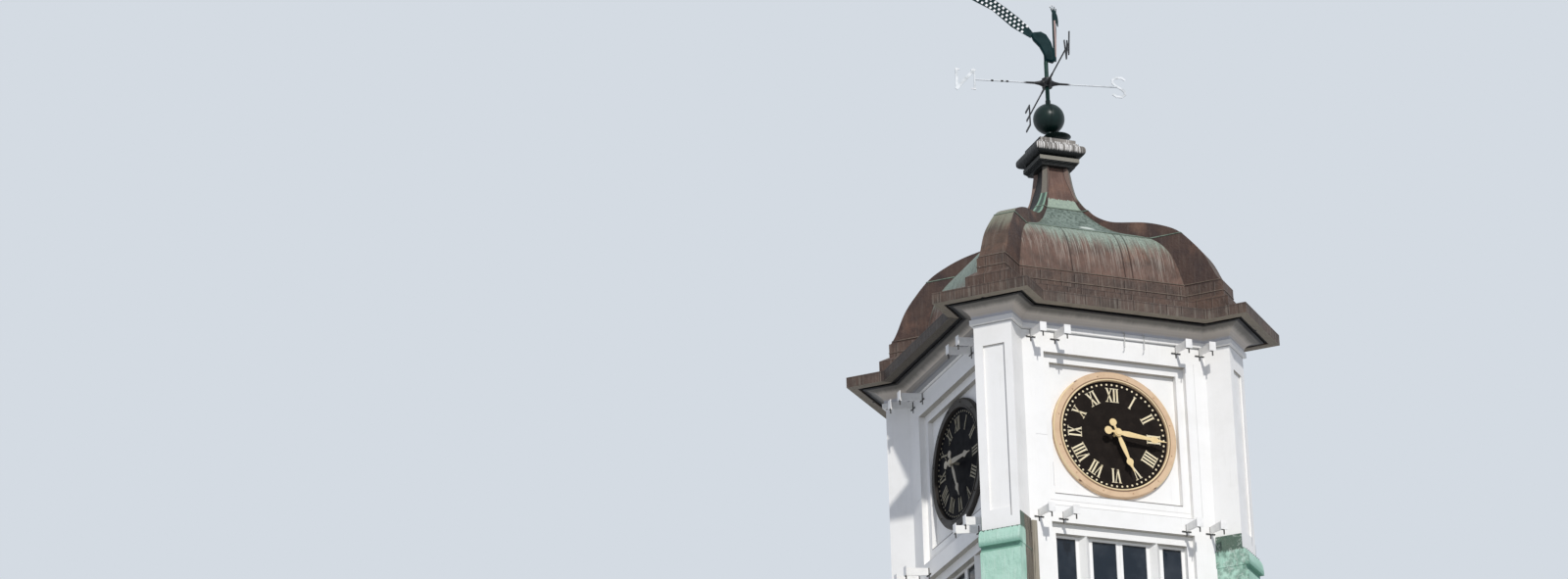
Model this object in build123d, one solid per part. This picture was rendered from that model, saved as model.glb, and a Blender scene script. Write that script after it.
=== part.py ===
from build123d import *
import math
import os

# Timber clock turret with a copper bell dome, millimetres, +Z up.
# Origin: centre of the underside of the plinth. The front dial faces -Y.

# Plan: a square body with a pier standing out on each diagonal
WALL_FACE = 1440.0          # axis to the outside of a main wall
PIER_HALF = 226.0           # half width of a clock-stage pier
PIER_REACH = 2110.0         # axis to a pier's front, along the diagonal
PIER_DEPTH = 550.0          # pier front to its inner end
PIER_BOARD = 55.0           # boarding of the boxed piers
WINDOW_WALL_DEPTH = 220.0
CLOCK_WALL_DEPTH = 180.0
PIER_ROOT = PIER_REACH - PIER_DEPTH

# Heights, each storey standing on the one below
PLINTH_TOP = 300.0
WINDOW_STAGE = 2740.0       # plinth to the foot of the clock walls
CLOCK_STAGE = 2335.0        # clock walls up to the eave
CORNICE_HEIGHT = 225.0
EAVE_DEPTH = 110.0
CURB_RISE = 115.0           # sloped roof edge
CURB_DEPTH = 130.0          # upright blocking course
WEATHERING = 70.0           # sloped top of the blocking course
SKIRT_DEPTH = 170.0
DOME_HEIGHT = 1830.0        # bell from its foot to the neck's top
NECK_DEPTH = 470.0
STAGE_SPLIT = PLINTH_TOP + WINDOW_STAGE
EAVE_FOOT = STAGE_SPLIT + CLOCK_STAGE
CORNICE_FOOT = EAVE_FOOT - CORNICE_HEIGHT
EAVE_TOP = EAVE_FOOT + EAVE_DEPTH
CURB_FOOT = EAVE_TOP + CURB_RISE
CURB_TOP = CURB_FOOT + CURB_DEPTH
SKIRT_FOOT = CURB_TOP + WEATHERING
DOME_FOOT = SKIRT_FOOT + SKIRT_DEPTH
NECK_TOP = DOME_FOOT + DOME_HEIGHT
NECK_FOOT = NECK_TOP - NECK_DEPTH

PLINTH_OUT = 50.0
FLOOR_THICK = 60.0

# Window stage, measured down from the stage above
OPENING_HALF = 860.0        # half width of the hole in the wall
OPENING_HEAD = STAGE_SPLIT - 145.0
OPENING_HEIGHT = 1785.0
OPENING_SILL = OPENING_HEAD - OPENING_HEIGHT
CASING_BAND = 70.0          # width of the outer frame at the sides
CASING_HEAD = 108.0         # its height at head and foot
CASING_RECESS = 70.0        # wall face to the outer frame's front
FRAME_RECESS = 75.0         # outer frame's front to the lights' front
FRAME_THICK = 60.0
WINDOW_HALF = OPENING_HALF - CASING_BAND
WINDOW_SILL = OPENING_SILL + CASING_HEAD
WINDOW_HEAD = OPENING_HEAD - CASING_HEAD
RAIL = 28.0                 # rails above and below the glass
OUTER_LIGHT = (525.0, 752.0)
INNER_LIGHT = (38.0, 325.0)
POST_HALF = 62.0            # half width of the pointed posts between lights
STILE_GROOVE = 8.0
SILL_OUT = 60.0
SILL_THICK = 50.0
SILL_HORN = 40.0
GLASS_THICK = 8.0
GLASS_SET = 16.0            # lights' front to the glass
GLASS_REBATE = 10.0

# Clock stage, measured from the dial's centre
DIAL_RISE = 990.0           # foot of the clock wall to the dials' centre
DIAL_HEIGHT = STAGE_SPLIT + DIAL_RISE
SURROUND_HALF = 865.0
SURROUND_BELOW = 935.0      # dial's centre to the foot of the recess
SURROUND_ABOVE = 870.0
SURROUND_BAND = 94.0        # width of the frame that lines the recess
SURROUND_FOOT_BAND = 168.0
SURROUND_BEAD = 12.0
FIRST_RECESS = 72.0         # wall face to the frame's front
PANEL_RECESS = 134.0        # wall face to the panel behind the dial
SURROUND_FOOT = DIAL_HEIGHT - SURROUND_BELOW
SURROUND_TOP = DIAL_HEIGHT + SURROUND_ABOVE

# Dial and ring
RING_OUTER = 750.0
RING_INNER = 642.0
RING_OUT = 52.0
RING_BEVEL = 14.0
RING_LIP = 8.0
DIAL_THICK = 20.0

# Hands and their arbors
PIPE_R = 16.0
PIPE_BORE_R = 10.3
ARBOR_R = 10.0
RUNNING_GAP = 0.3           # pipe to the hole in the dial
WALL_BORE_GAP = 6.0
HAND_THICK = 6.0
HUB_CAP = 10.0
HUB_DISC = 47.0
TAIL_HALF = 12.0
HOUR_LIFT = 90.0            # dial face to the back of the hour hand
HAND_GAP = 14.0             # hour hand's front to the minute hand's back
MINUTE_LIFT = HOUR_LIFT + HAND_THICK + HAND_GAP
CLOCK_MINUTE = 16.0
CLOCK_HOUR = 5.0

# Piers and their copper consoles
PANEL_HALF = 125.0
PANEL_SUNK = 25.0
PANEL_BELOW = 80.0          # sunk panel's foot under the stage split
PANEL_TOP_GAP = 260.0       # sunk panel's head under the cornice's foot
CHEEK_BELOW = 140.0         # cheeks' top under the stage split
CONSOLE_BELOW = 305.0       # copper's top edge on a pier's front
NOSE_DROP = 150.0           # that edge to the fullest part of the nose
NOSE_OUT = 78.0            # pier front to the nose
NOSE_FLAT = 54.0
UNDERCUT = 72.0             # height of the hollow below the nose
UNDERCUT_OUT = 30.0
SHAFT_OUT = 60.0            # pier front to the shaft's front
SHAFT_SIDE = 8.0            # pier side to the shaft's side
NOSE_SIDE = 15.0
CONSOLE_TOP = STAGE_SPLIT - CONSOLE_BELOW
CHEEK_TOP = STAGE_SPLIT - CHEEK_BELOW

# Outlines of the roof courses: wall, pier half width, pier reach
EAVE_PLAN = (WALL_FACE + 360.0, PIER_HALF + 344.0, PIER_REACH + 340.0)
SLOPE_PLAN = (WALL_FACE - 8.0, PIER_HALF + 68.0, PIER_REACH + 54.0)
CURB_PLAN = (WALL_FACE - 20.0, PIER_HALF + 56.0, PIER_REACH + 42.0)
SKIRT_PLAN = (WALL_FACE - 180.0, PIER_HALF - 58.0, PIER_REACH - 42.0)
DRIP_DEPTH = 16.0
DRIP_THICK = 104.0          # width of the raised band under the eave's edge
ROOF_OPEN = WALL_FACE - 340.0   # half width of the hole through the roof courses

# Bell: shares of the size at the foot and of the height
BELL_CURVE = ((1.0, 0.0), (0.964, 0.125), (0.900, 0.257), (0.816, 0.344), (0.724, 0.399),
              (0.612, 0.44), (0.494, 0.486), (0.425, 0.527), (0.3616, 0.574), (0.2976, 0.628),
              (0.252, 0.67), (0.194, 0.752), (0.149, 0.86), (0.118, 0.945), (0.110, 1.0))
HIP_CURVE = ((1.0, 0.0), (0.966, 0.055), (0.912, 0.186), (0.832, 0.311), (0.747, 0.41),
             (0.670, 0.459), (0.556, 0.508), (0.420, 0.541), (0.351, 0.563), (0.298, 0.595),
             (0.2527, 0.634), (0.2205, 0.672), (0.188, 0.713), (0.1585, 0.762), (0.138, 0.803),
             (0.126, 0.847), (0.1132, 0.923), (0.1025, 1.0))
HIP_WIDTH = ((1.0, 0.0), (0.985, 0.152), (0.91, 0.274), (0.75, 0.399), (0.56, 0.535), (0.37, 0.67),
             (0.285, 0.752), (0.24, 0.86), (0.205, 1.0))
BELL_HALF = SKIRT_PLAN[0] - 10.0
HIP_REACH = SKIRT_PLAN[2] - 18.0
HIP_HALF = SKIRT_PLAN[1] - 8.0      # half width of a hip at its foot
SHELL = 80.0                # thickness of the boarded and sheeted bell
HOLLOW_POINTS = 8           # points of the curve that the hollow follows

# Cap, ball and vane
CAP_ROLL_HALF = 312.0
CAP_ROLL = 140.0
CAP_FILLET_HALF = 250.0     # pale fillet under the roll
CAP_FILLET = 50.0
CAP_RECESS_HALF = 222.0     # dark groove between fillet and roll
CAP_RECESS = 24.0
CAP_COVE = 52.0             # hollow from the neck out to the fillet
CAP_LEDGE_HALF = 250.0      # two thin boards on the roll
CAP_LEDGE = 26.0
CAP_BOARD_HALF = 226.0
CAP_BOARD = 52.0
BALL_R = 186.0
PLATE_R = 165.0
PLATE_RISE = 34.0
PLATE_LIFT = 74.0           # cap's top to the plate
PLATE_SHIFT = 84.0          # how far the plate sits off the axis
PLATE_HEADING = -20.0       # and in which direction
STEM_R = 48.0
BALL_LIFT = 348.0           # cap's top to the ball's centre
COLLAR_R = 31.0
COLLAR_HEIGHT = 60.0
ROD_R = 25.0
HUB_LIFT = 465.0            # ball's centre to the compass hub
BIRD_LIFT = 748.0           # ball's centre to the bird's foot
PIN_R = 12.0
PIN_LENGTH = 150.0
PIN_GAP = 0.4
CAP_HEIGHT = CAP_COVE + CAP_FILLET + CAP_RECESS + CAP_ROLL + CAP_LEDGE + CAP_BOARD
CAP_TOP = NECK_TOP + CAP_HEIGHT
BALL_CENTRE = CAP_TOP + BALL_LIFT
HUB_HEIGHT = BALL_CENTRE + HUB_LIFT
BIRD_FOOT = BALL_CENTRE + BIRD_LIFT

COMPASS_TURN = -10.0
HUB_R = 60.0
HUB_DEPTH = 112.0
ROOT_LINE = ((0.0, 54.0), (55.0, 42.0), (90.0, 26.0), (150.0, 14.0), (280.0, 11.0))     # reach, radius
ARM_R = 9.0
LETTER_HALF = 125.0
LETTER_THIN = 12.0
LETTER_STROKE = 26.0
N_NEAR = 876.0              # axis to the near side of each letter
N_WIDE = 215.0
N_STROKES = (20.0, 38.0, 30.0)
E_NEAR = 900.0
E_WIDE = 190.0
S_NEAR = 790.0
S_LINE = ((155, 100), (120, 124), (50, 121), (8, 88), (8, 50), (40, 18), (110, -20), (150, -55),
          (152, -95), (110, -124), (50, -122), (12, -98))
W_NEAR = 900.0
W_WIDE = 240.0
BIRD_HEADING = -24.0
SOCKET_R = 22.0
SOCKET_LENGTH = 160.0
BIRD_THICK = 80.0
NECK_THICK = 24.0
TAIL_THICK = 12.0

# Lamp brackets: flat bars on edge, four above and four below each dial
BRACKET_X = (-1012.0, -720.0, 762.0, 1054.0)
UPPER_DROP = 12.0           # cornice's foot to the upper bars' top
LOWER_DROP = 26.0           # stage split to the lower bars' top
BAR_LENGTH = 300.0
BAR_THIN = 12.0
BAR_ROOT = 84.0             # bar's depth at the wall
BAR_END = 98.0              # bar's depth at its outer end
BAR_FALL = 26.0             # drop of the top edge towards the outer end
FOOT_HALF = 56.0
FOOT_ROD = 12.0
STRAP = 52.0                # length of the strap under the cross rod
END_PLATE_WIDE = 78.0
END_PLATE_SHIFT = 24.0      # plate's middle to the bar's
END_PLATE_TALL = 106.0
END_PLATE = 8.0
HOOK_REACH = 30.0
HOOK_DROP = 62.0

SIDES = (("front", 0.0), ("right", 90.0), ("back", 180.0), ("left", 270.0))
CORNERS = (("front_right", -45.0), ("back_right", 45.0), ("back_left", 135.0), ("front_left", 225.0))

ROOT2 = math.sqrt(2.0)
CLEAR = 1.0                 # overrun of a cutter past the face it cuts


def save(name, *shapes):
    """Write one node, made of one or more solids, as a STEP file."""
    shape = shapes[0] if len(shapes) == 1 else Compound(children=list(shapes))
    export_step(shape, f"parts/{name}.step")


def block(x0, x1, y0, y1, z0, z1):
    """A box between two corners."""
    return Pos((x0 + x1) / 2, (y0 + y1) / 2, (z0 + z1) / 2) * Box(x1 - x0, y1 - y0, z1 - z0)


def plan_points(wall, half, reach):
    """Corners of the body's outline: a square with a pier on each diagonal."""
    inner = wall - half * ROOT2
    near = (reach - half) / ROOT2
    far = (reach + half) / ROOT2
    quarter = ((inner, -wall), (near, -far), (far, -near), (wall, -inner))
    points = []
    for turn in (0.0, 90.0, 180.0, 270.0):
        a = math.radians(turn)
        for x, y in quarter:
            points.append((x * math.cos(a) - y * math.sin(a), x * math.sin(a) + y * math.cos(a)))
    return points


def plan_face(plan, z):
    corners = [Vector(x, y, z) for x, y in plan_points(*plan)]
    return make_face(Polyline(*corners, close=True))


def grown(plan, offset):
    """The same outline pushed out all round."""
    return tuple(size + offset for size in plan)


BODY_PLAN = (WALL_FACE, PIER_HALF, PIER_REACH)


def prism(face, height):
    return extrude(face, amount=height, dir=(0, 0, 1))


def ruled(lower, upper):
    return loft([lower, upper], ruled=True)


def room_plan(half, z0, z1):
    """Inside of a storey: a square whose corners stop at the pier roots."""
    square = block(-half, half, -half, half, z0, z1)
    return square & (Rot(0, 0, 45) * block(-PIER_ROOT, PIER_ROOT, -PIER_ROOT, PIER_ROOT, z0, z1))


def wall_slab(depth, z0, z1):
    """One main wall, mitred at both ends against the piers, on the front side."""
    inner = WALL_FACE - depth
    outer_x = WALL_FACE - PIER_HALF * ROOT2
    inner_x = outer_x - depth
    corners = [
        (-outer_x, -WALL_FACE, z0),
        (outer_x, -WALL_FACE, z0),
        (inner_x, -inner, z0),
        (-inner_x, -inner, z0),
    ]
    return prism(make_face(Polyline(*corners, close=True)), z1 - z0)


def base_plinth():
    outer = prism(plan_face(grown(BODY_PLAN, PLINTH_OUT), 0.0), PLINTH_TOP)
    return outer - room_plan(WALL_FACE - WINDOW_WALL_DEPTH, 0.0, PLINTH_TOP)


def floor_plate(top):
    return room_plan(WALL_FACE - WINDOW_WALL_DEPTH, top - FLOOR_THICK, top)


def window_wall():
    wall = wall_slab(WINDOW_WALL_DEPTH, PLINTH_TOP, STAGE_SPLIT)
    inside = -WALL_FACE + WINDOW_WALL_DEPTH + CLEAR
    return wall - block(-OPENING_HALF, OPENING_HALF, -WALL_FACE - CLEAR, inside, OPENING_SILL, OPENING_HEAD)


def lights():
    """Left and right edges of the four panes across a window."""
    left = [(-x1, -x0) for x0, x1 in (OUTER_LIGHT, INNER_LIGHT)]
    return left + [INNER_LIGHT, OUTER_LIGHT]


def pointed_post(x, front, tip):
    """Post between two lights, pointed in plan, its edge flush with the outer frame."""
    plan = [(x - POST_HALF, front, WINDOW_SILL), (x + POST_HALF, front, WINDOW_SILL), (x, tip, WINDOW_SILL)]
    return prism(make_face(Polyline(*plan, close=True)), WINDOW_HEAD - WINDOW_SILL)


def window_frame():
    """Outer frame, inner frame with four lights, posts and sill of one window."""
    face = -WALL_FACE
    outer = face + CASING_RECESS
    front = outer + FRAME_RECESS
    back = front + FRAME_THICK
    casing = block(-OPENING_HALF, OPENING_HALF, outer, back, OPENING_SILL, OPENING_HEAD)
    casing -= block(-WINDOW_HALF, WINDOW_HALF, outer - CLEAR, front, WINDOW_SILL, WINDOW_HEAD)
    for x0, x1 in lights():
        casing -= block(x0, x1, front - CLEAR, back + CLEAR, WINDOW_SILL + RAIL, WINDOW_HEAD - RAIL)
        casing -= block(
            x0 - GLASS_REBATE, x1 + GLASS_REBATE, front + GLASS_SET, front + GLASS_SET + GLASS_THICK,
            WINDOW_SILL + RAIL - GLASS_REBATE, WINDOW_HEAD - RAIL + GLASS_REBATE)
    post = (OUTER_LIGHT[0] + INNER_LIGHT[1]) / 2
    casing += pointed_post(-post, front, outer)
    casing += pointed_post(post, front, outer)
    casing -= block(-STILE_GROOVE / 2, STILE_GROOVE / 2, front - CLEAR, front + STILE_GROOVE,
                    WINDOW_SILL, WINDOW_HEAD)
    sill = block(-OPENING_HALF, OPENING_HALF, face, outer, OPENING_SILL, OPENING_SILL + SILL_THICK)
    wide = OPENING_HALF + SILL_HORN
    sill += block(-wide, wide, face - SILL_OUT, face, OPENING_SILL, OPENING_SILL + SILL_THICK)
    return casing + sill


def window_panes():
    front = -WALL_FACE + CASING_RECESS + FRAME_RECESS + GLASS_SET
    panes = []
    for x0, x1 in lights():
        panes.append(block(
            x0 - GLASS_REBATE, x1 + GLASS_REBATE, front, front + GLASS_THICK,
            WINDOW_SILL + RAIL - GLASS_REBATE, WINDOW_HEAD - RAIL + GLASS_REBATE))
    return panes


def clock_wall():
    """Clock-stage wall with the square recess that holds the dial."""
    wall = wall_slab(CLOCK_WALL_DEPTH, STAGE_SPLIT, EAVE_FOOT)
    face = -WALL_FACE
    wall -= block(-SURROUND_HALF, SURROUND_HALF, face - CLEAR, face + PANEL_RECESS, SURROUND_FOOT, SURROUND_TOP)
    return wall - disc(PIPE_R + WALL_BORE_GAP, face - CLEAR, face + CLOCK_WALL_DEPTH + CLEAR)


def clock_surround():
    """Flat frame that lines the recess and makes its second step."""
    front = -WALL_FACE + FIRST_RECESS
    back = -WALL_FACE + PANEL_RECESS
    half = SURROUND_HALF
    inner = half - SURROUND_BAND
    inner_foot = SURROUND_FOOT + SURROUND_FOOT_BAND
    inner_top = SURROUND_TOP - SURROUND_BAND
    frame = block(-half, half, front, back, SURROUND_FOOT, SURROUND_TOP)
    frame -= block(-inner, inner, front - CLEAR, back + CLEAR, inner_foot, inner_top)
    bead = block(-inner, inner, back - SURROUND_BEAD, back, inner_foot, inner_foot + SURROUND_BEAD)
    return frame + bead


def disc(radius, y0, y1):
    """Round bar along Y between two depths, centred on the dial."""
    return Pos(0, (y0 + y1) / 2, DIAL_HEIGHT) * Rot(90, 0, 0) * Cylinder(radius, y1 - y0)


def ring_of(outer, inner, y0, y1):
    """Flat ring round the dial centre between two depths."""
    return disc(outer, y0, y1) - disc(inner, y0 - CLEAR, y1 + CLEAR)


def dial():
    back = -WALL_FACE + PANEL_RECESS
    return ring_of(RING_INNER, PIPE_R + RUNNING_GAP, back - DIAL_THICK, back)


def dial_ring():
    back = -WALL_FACE + PANEL_RECESS
    front = back - RING_OUT
    ring = ring_of(RING_OUTER, RING_INNER, front, back)
    edge = ring.faces().sort_by(Axis.Y)[0].edges()
    ring = chamfer(edge.sort_by(SortBy.RADIUS)[-1], RING_BEVEL)
    return ring + ring_of(RING_INNER + 2 * RING_LIP, RING_INNER + RING_LIP / 2, front - RING_LIP, front)


def hand_blade(points, y0):
    """Flat blade pointing up from the dial centre, cut from sheet."""
    corners = [(x, y0, DIAL_HEIGHT + z) for x, z in points]
    face = make_face(Polyline(*corners, close=True))
    return extrude(face, amount=HAND_THICK, dir=(0, -1, 0))


def mirrored(points):
    """A hand's right edge followed by the same edge on the left, tip first."""
    return points + [(-x, z) for x, z in reversed(points)]


def turn_about_dial(shape, degrees):
    """Turn clockwise as seen from in front of the dial."""
    return Pos(0, 0, DIAL_HEIGHT) * Rot(0, degrees, 0) * Pos(0, 0, -DIAL_HEIGHT) * shape


def hand_plate(edge, tail, tail_disc, back):
    """Blade with a narrow tail that ends in a disc, cut from one sheet."""
    front = back - HAND_THICK
    blade = hand_blade(mirrored(edge) + [(-TAIL_HALF, -tail), (TAIL_HALF, -tail)], back)
    blade += Pos(0, 0, -tail) * disc(tail_disc, front, back)
    return blade + disc(HUB_DISC, front, back)


def hour_hand():
    """Spade-ended hand on a pipe that runs through the dial."""
    back = -WALL_FACE + PANEL_RECESS - DIAL_THICK - HOUR_LIFT
    edge = [(14, 0), (17, 44), (26, 100), (29, 150), (24, 230), (16, 312), (34, 330), (43, 350),
            (38, 372), (20, 398), (9, 432), (3, 484)]
    hand = hand_plate(edge, 130, 43, back)
    hand += disc(PIPE_R, back, -WALL_FACE + CLOCK_WALL_DEPTH - DIAL_THICK)
    hand -= disc(PIPE_BORE_R, back - HAND_THICK - CLEAR, -WALL_FACE + CLOCK_WALL_DEPTH)
    return turn_about_dial(hand, (CLOCK_HOUR + CLOCK_MINUTE / 60) * 30)


def minute_hand():
    """Longer hand of the same pattern, on a solid arbor."""
    back = -WALL_FACE + PANEL_RECESS - DIAL_THICK - MINUTE_LIFT
    edge = [(14, 0), (22, 38), (31, 84), (32, 130), (26, 230), (18, 392), (33, 414), (40, 436),
            (34, 460), (17, 490), (8, 532), (3, 588)]
    hand = hand_plate(edge, 120, 46, back)
    hand += disc(HUB_DISC * 0.7, back - HAND_THICK - HUB_CAP, back)
    hand += disc(ARBOR_R, back, -WALL_FACE + CLOCK_WALL_DEPTH - DIAL_THICK / 2)
    return turn_about_dial(hand, CLOCK_MINUTE * 6)


def pier_upper():
    """Boxed clock-stage pier with a tall sunk panel in its front."""
    pier = block(PIER_ROOT, PIER_REACH, -PIER_HALF, PIER_HALF, CONSOLE_TOP, EAVE_FOOT)
    inside = PIER_HALF - PIER_BOARD
    pier -= block(PIER_ROOT + PIER_BOARD, PIER_REACH - PIER_BOARD, -inside, inside, CONSOLE_TOP, EAVE_FOOT)
    return pier - block(PIER_REACH - PANEL_SUNK, PIER_REACH + CLEAR, -PANEL_HALF, PANEL_HALF,
                        STAGE_SPLIT - PANEL_BELOW, CORNICE_FOOT - PANEL_TOP_GAP)


def side_prism(points, half):
    """Profile in the XZ plane carried half a width to either side."""
    face = make_face(Polyline(*[(x, 0, z) for x, z in points], close=True))
    return extrude(face, amount=half, dir=(0, 1, 0), both=True)


def console():
    """Copper-clad lower pier: shaft, hollow, rounded nose and cheeks up the pier's sides."""
    shaft_x = PIER_REACH + SHAFT_OUT
    hollow_x = PIER_REACH + UNDERCUT_OUT
    nose_x = PIER_REACH + NOSE_OUT
    nose_z = CONSOLE_TOP - NOSE_DROP
    nose_foot = nose_z - NOSE_FLAT
    hollow_foot = nose_foot - UNDERCUT
    shaft = side_prism([(PIER_ROOT, PLINTH_TOP), (shaft_x, PLINTH_TOP), (shaft_x, hollow_foot),
                        (hollow_x, hollow_foot + UNDERCUT / 3), (hollow_x, nose_foot), (PIER_ROOT, nose_foot)],
                       PIER_HALF + SHAFT_SIDE)
    nose_line = [(PIER_ROOT, nose_foot), (nose_x, nose_foot)]
    for step in range(7):
        a = math.radians(step * 15)
        nose_line.append((PIER_REACH + NOSE_OUT * math.cos(a), nose_z + NOSE_DROP * math.sin(a)))
    nose_line.append((PIER_ROOT, CONSOLE_TOP))
    nose = side_prism(nose_line, PIER_HALF + NOSE_SIDE)
    cheek = side_prism([(PIER_ROOT, CONSOLE_TOP), (PIER_REACH, CONSOLE_TOP), (PIER_REACH, CHEEK_TOP),
                        (PIER_ROOT, CHEEK_TOP)], PIER_HALF + SHAFT_SIDE)
    cheek -= block(PIER_ROOT - CLEAR, PIER_REACH + CLEAR, -PIER_HALF, PIER_HALF, CONSOLE_TOP, CHEEK_TOP + CLEAR)
    inside = PIER_HALF - PIER_BOARD
    solid = shaft + nose + cheek
    solid -= block(PIER_ROOT + PIER_BOARD, PIER_REACH - PIER_BOARD, -inside, inside, PLINTH_TOP, CONSOLE_TOP)
    wall = wall_slab(WINDOW_WALL_DEPTH, PLINTH_TOP, STAGE_SPLIT)
    for turn in (45.0, 135.0):
        solid -= Rot(0, 0, turn) * wall
    return solid


def round_moulding(points):
    """Moulding swept round walls and piers; points are (offset, height) outward."""
    start = Vector(0, -WALL_FACE, 0)
    corners = [Vector(x, y, 0) for x, y in plan_points(*BODY_PLAN)]
    path = Wire(Polyline(start, *corners, start).edges())
    plane = Plane(origin=start, x_dir=(0, -1, 0), z_dir=(-1, 0, 0))
    section = plane * make_face(Polyline(*points, close=True))
    return sweep(section, path=path, transition=Transition.RIGHT)


def cornice():
    """Fillet at the foot, then one large cove up to a thin edge under the eave."""
    fillet_out = CORNICE_HEIGHT * 0.15
    fillet_top = CORNICE_FOOT + CORNICE_HEIGHT * 0.25
    cove_in = CORNICE_HEIGHT * 0.06
    cove_foot = fillet_top + CORNICE_HEIGHT * 0.05
    cove_top = EAVE_FOOT - CORNICE_HEIGHT * 0.08
    reach = CORNICE_HEIGHT * 0.9
    points = [(0, CORNICE_FOOT), (fillet_out, CORNICE_FOOT), (fillet_out, fillet_top), (cove_in, fillet_top)]
    for step in range(8):
        a = math.radians(step * 12)
        x = cove_in + (reach - cove_in) * (1 - math.cos(a))
        points.append((x, cove_foot + (cove_top - cove_foot) * math.sin(a)))
    points += [(reach, cove_top), (reach, EAVE_FOOT), (0, EAVE_FOOT)]
    return round_moulding(points)


def roof_hole(z0, z1):
    return block(-ROOF_OPEN, ROOF_OPEN, -ROOF_OPEN, ROOF_OPEN, z0 - CLEAR, z1 + CLEAR)


def eave():
    """Copper-covered eave board with a raised band along the edge of its underside."""
    slab = prism(plan_face(EAVE_PLAN, EAVE_FOOT), EAVE_DEPTH)
    drip = prism(plan_face(EAVE_PLAN, EAVE_FOOT - DRIP_DEPTH), DRIP_DEPTH)
    drip -= prism(plan_face(grown(EAVE_PLAN, -DRIP_THICK), EAVE_FOOT - DRIP_DEPTH), DRIP_DEPTH)
    return slab - roof_hole(EAVE_FOOT, EAVE_TOP) + drip


def roof_curb():
    """Sloped roof edge and the upright blocking course above it."""
    slope = ruled(plan_face(grown(EAVE_PLAN, -10.0), EAVE_TOP), plan_face(SLOPE_PLAN, CURB_FOOT))
    course = prism(plan_face(CURB_PLAN, CURB_FOOT), CURB_DEPTH)
    top = ruled(plan_face(CURB_PLAN, CURB_TOP), plan_face(grown(SKIRT_PLAN, 8.0), SKIRT_FOOT))
    return slope + course + top - roof_hole(EAVE_TOP, SKIRT_FOOT)


def skirt():
    """Low upright band at the foot of the bell."""
    return prism(plan_face(SKIRT_PLAN, SKIRT_FOOT), SKIRT_DEPTH) - roof_hole(SKIRT_FOOT, DOME_FOOT)


def bell_points(curve, reach):
    return [(share * reach, DOME_FOOT + rise * DOME_HEIGHT) for share, rise in curve]


def profile_face(points):
    """Mirror-symmetric section of the bell in the XZ plane."""
    side = [Vector(x, 0, z) for x, z in points]
    other = [Vector(-p.X, 0, p.Z) for p in side]
    return make_face([Spline(*side), Line(side[-1], other[-1]), Spline(*other), Line(other[0], side[0])])


def vault(points):
    along_y = extrude(profile_face(points), amount=1.2 * BELL_HALF, dir=(0, 1, 0), both=True)
    return along_y & (Rot(0, 0, 90) * along_y)


def bell_dome():
    """Square bell with a raised hip running up each diagonal, narrower as it rises."""
    body = vault(bell_points(BELL_CURVE, BELL_HALF))
    hip_face = profile_face(bell_points(HIP_CURVE, HIP_REACH))
    width_face = profile_face(bell_points(HIP_WIDTH, HIP_HALF))
    hip = extrude(hip_face, amount=1.2 * HIP_HALF, dir=(0, 1, 0), both=True)
    hip &= Rot(0, 0, 90) * extrude(width_face, amount=1.1 * HIP_REACH, dir=(0, 1, 0), both=True)
    limit = extrude(hip_face, amount=1.3 * HIP_REACH, dir=(0, 1, 0), both=True)
    for turn in (45.0, 135.0):
        body += Rot(0, 0, turn) * hip
    for turn in (45.0, 135.0):
        body &= Rot(0, 0, turn) * limit
    return body


def bell_hollow():
    """Space inside the boarded bell."""
    outer = bell_points(BELL_CURVE[:HOLLOW_POINTS], BELL_HALF)
    return vault([(x - SHELL, z - SHELL * 0.6) for x, z in outer])


def square_course(half, foot, height, rounding=0.0):
    course = block(-half, half, -half, half, foot, foot + height)
    if rounding:
        course = fillet(course.edges().filter_by(Axis.Z, reverse=True), rounding)
    return course


def cap_cove():
    """Hollow that spreads from the neck's corners out to the cap's fillet."""
    neck = HIP_CURVE[-1][0] * HIP_REACH
    spread = CAP_FILLET_HALF - neck
    steps = 4
    solid = None
    for step in range(steps):
        half = neck + spread * ((step + 0.5) / steps) ** 2
        layer = square_course(half, NECK_TOP + step * CAP_COVE / steps, CAP_COVE / steps)
        solid = layer if solid is None else solid + layer
    return solid


def cap():
    """Square moulded cap on the neck: cove, fillet, groove, a fat roll and two thin boards."""
    solid = cap_cove()
    foot = NECK_TOP + CAP_COVE
    courses = (
        (CAP_FILLET_HALF, CAP_FILLET, 0.0),
        (CAP_RECESS_HALF, CAP_RECESS, 0.0),
        (CAP_ROLL_HALF, CAP_ROLL, CAP_ROLL * 0.44),
        (CAP_LEDGE_HALF, CAP_LEDGE, 0.0),
        (CAP_BOARD_HALF, CAP_BOARD, 0.0),
    )
    for half, height, rounding in courses:
        solid += square_course(half, foot, height, rounding)
        foot += height
    return solid


def finial_ball():
    """Stem with an off-centre dished plate, ball and collar under the vane rod."""
    stem_top = BALL_CENTRE - BALL_R * 0.9
    stem = Pos(0, 0, (CAP_TOP + stem_top) / 2) * Cylinder(STEM_R, stem_top - CAP_TOP)
    plate_foot = CAP_TOP + PLATE_LIFT
    rim = plate_foot + PLATE_RISE
    profile = make_face(Polyline(
        (0, 0, plate_foot), (PLATE_R * 0.7, 0, plate_foot), (PLATE_R, 0, rim), (PLATE_R - 8, 0, rim + 6),
        (STEM_R, 0, plate_foot + PLATE_RISE / 2), (0, 0, plate_foot + PLATE_RISE / 2), close=True))
    plate = Rot(0, 0, PLATE_HEADING) * Pos(PLATE_SHIFT, 0, 0) * revolve(profile, Axis.Z)
    collar = Pos(0, 0, BALL_CENTRE + BALL_R + COLLAR_HEIGHT / 2 - 8) * Cylinder(COLLAR_R, COLLAR_HEIGHT)
    return stem + plate + Pos(0, 0, BALL_CENTRE) * Sphere(BALL_R) + collar


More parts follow.
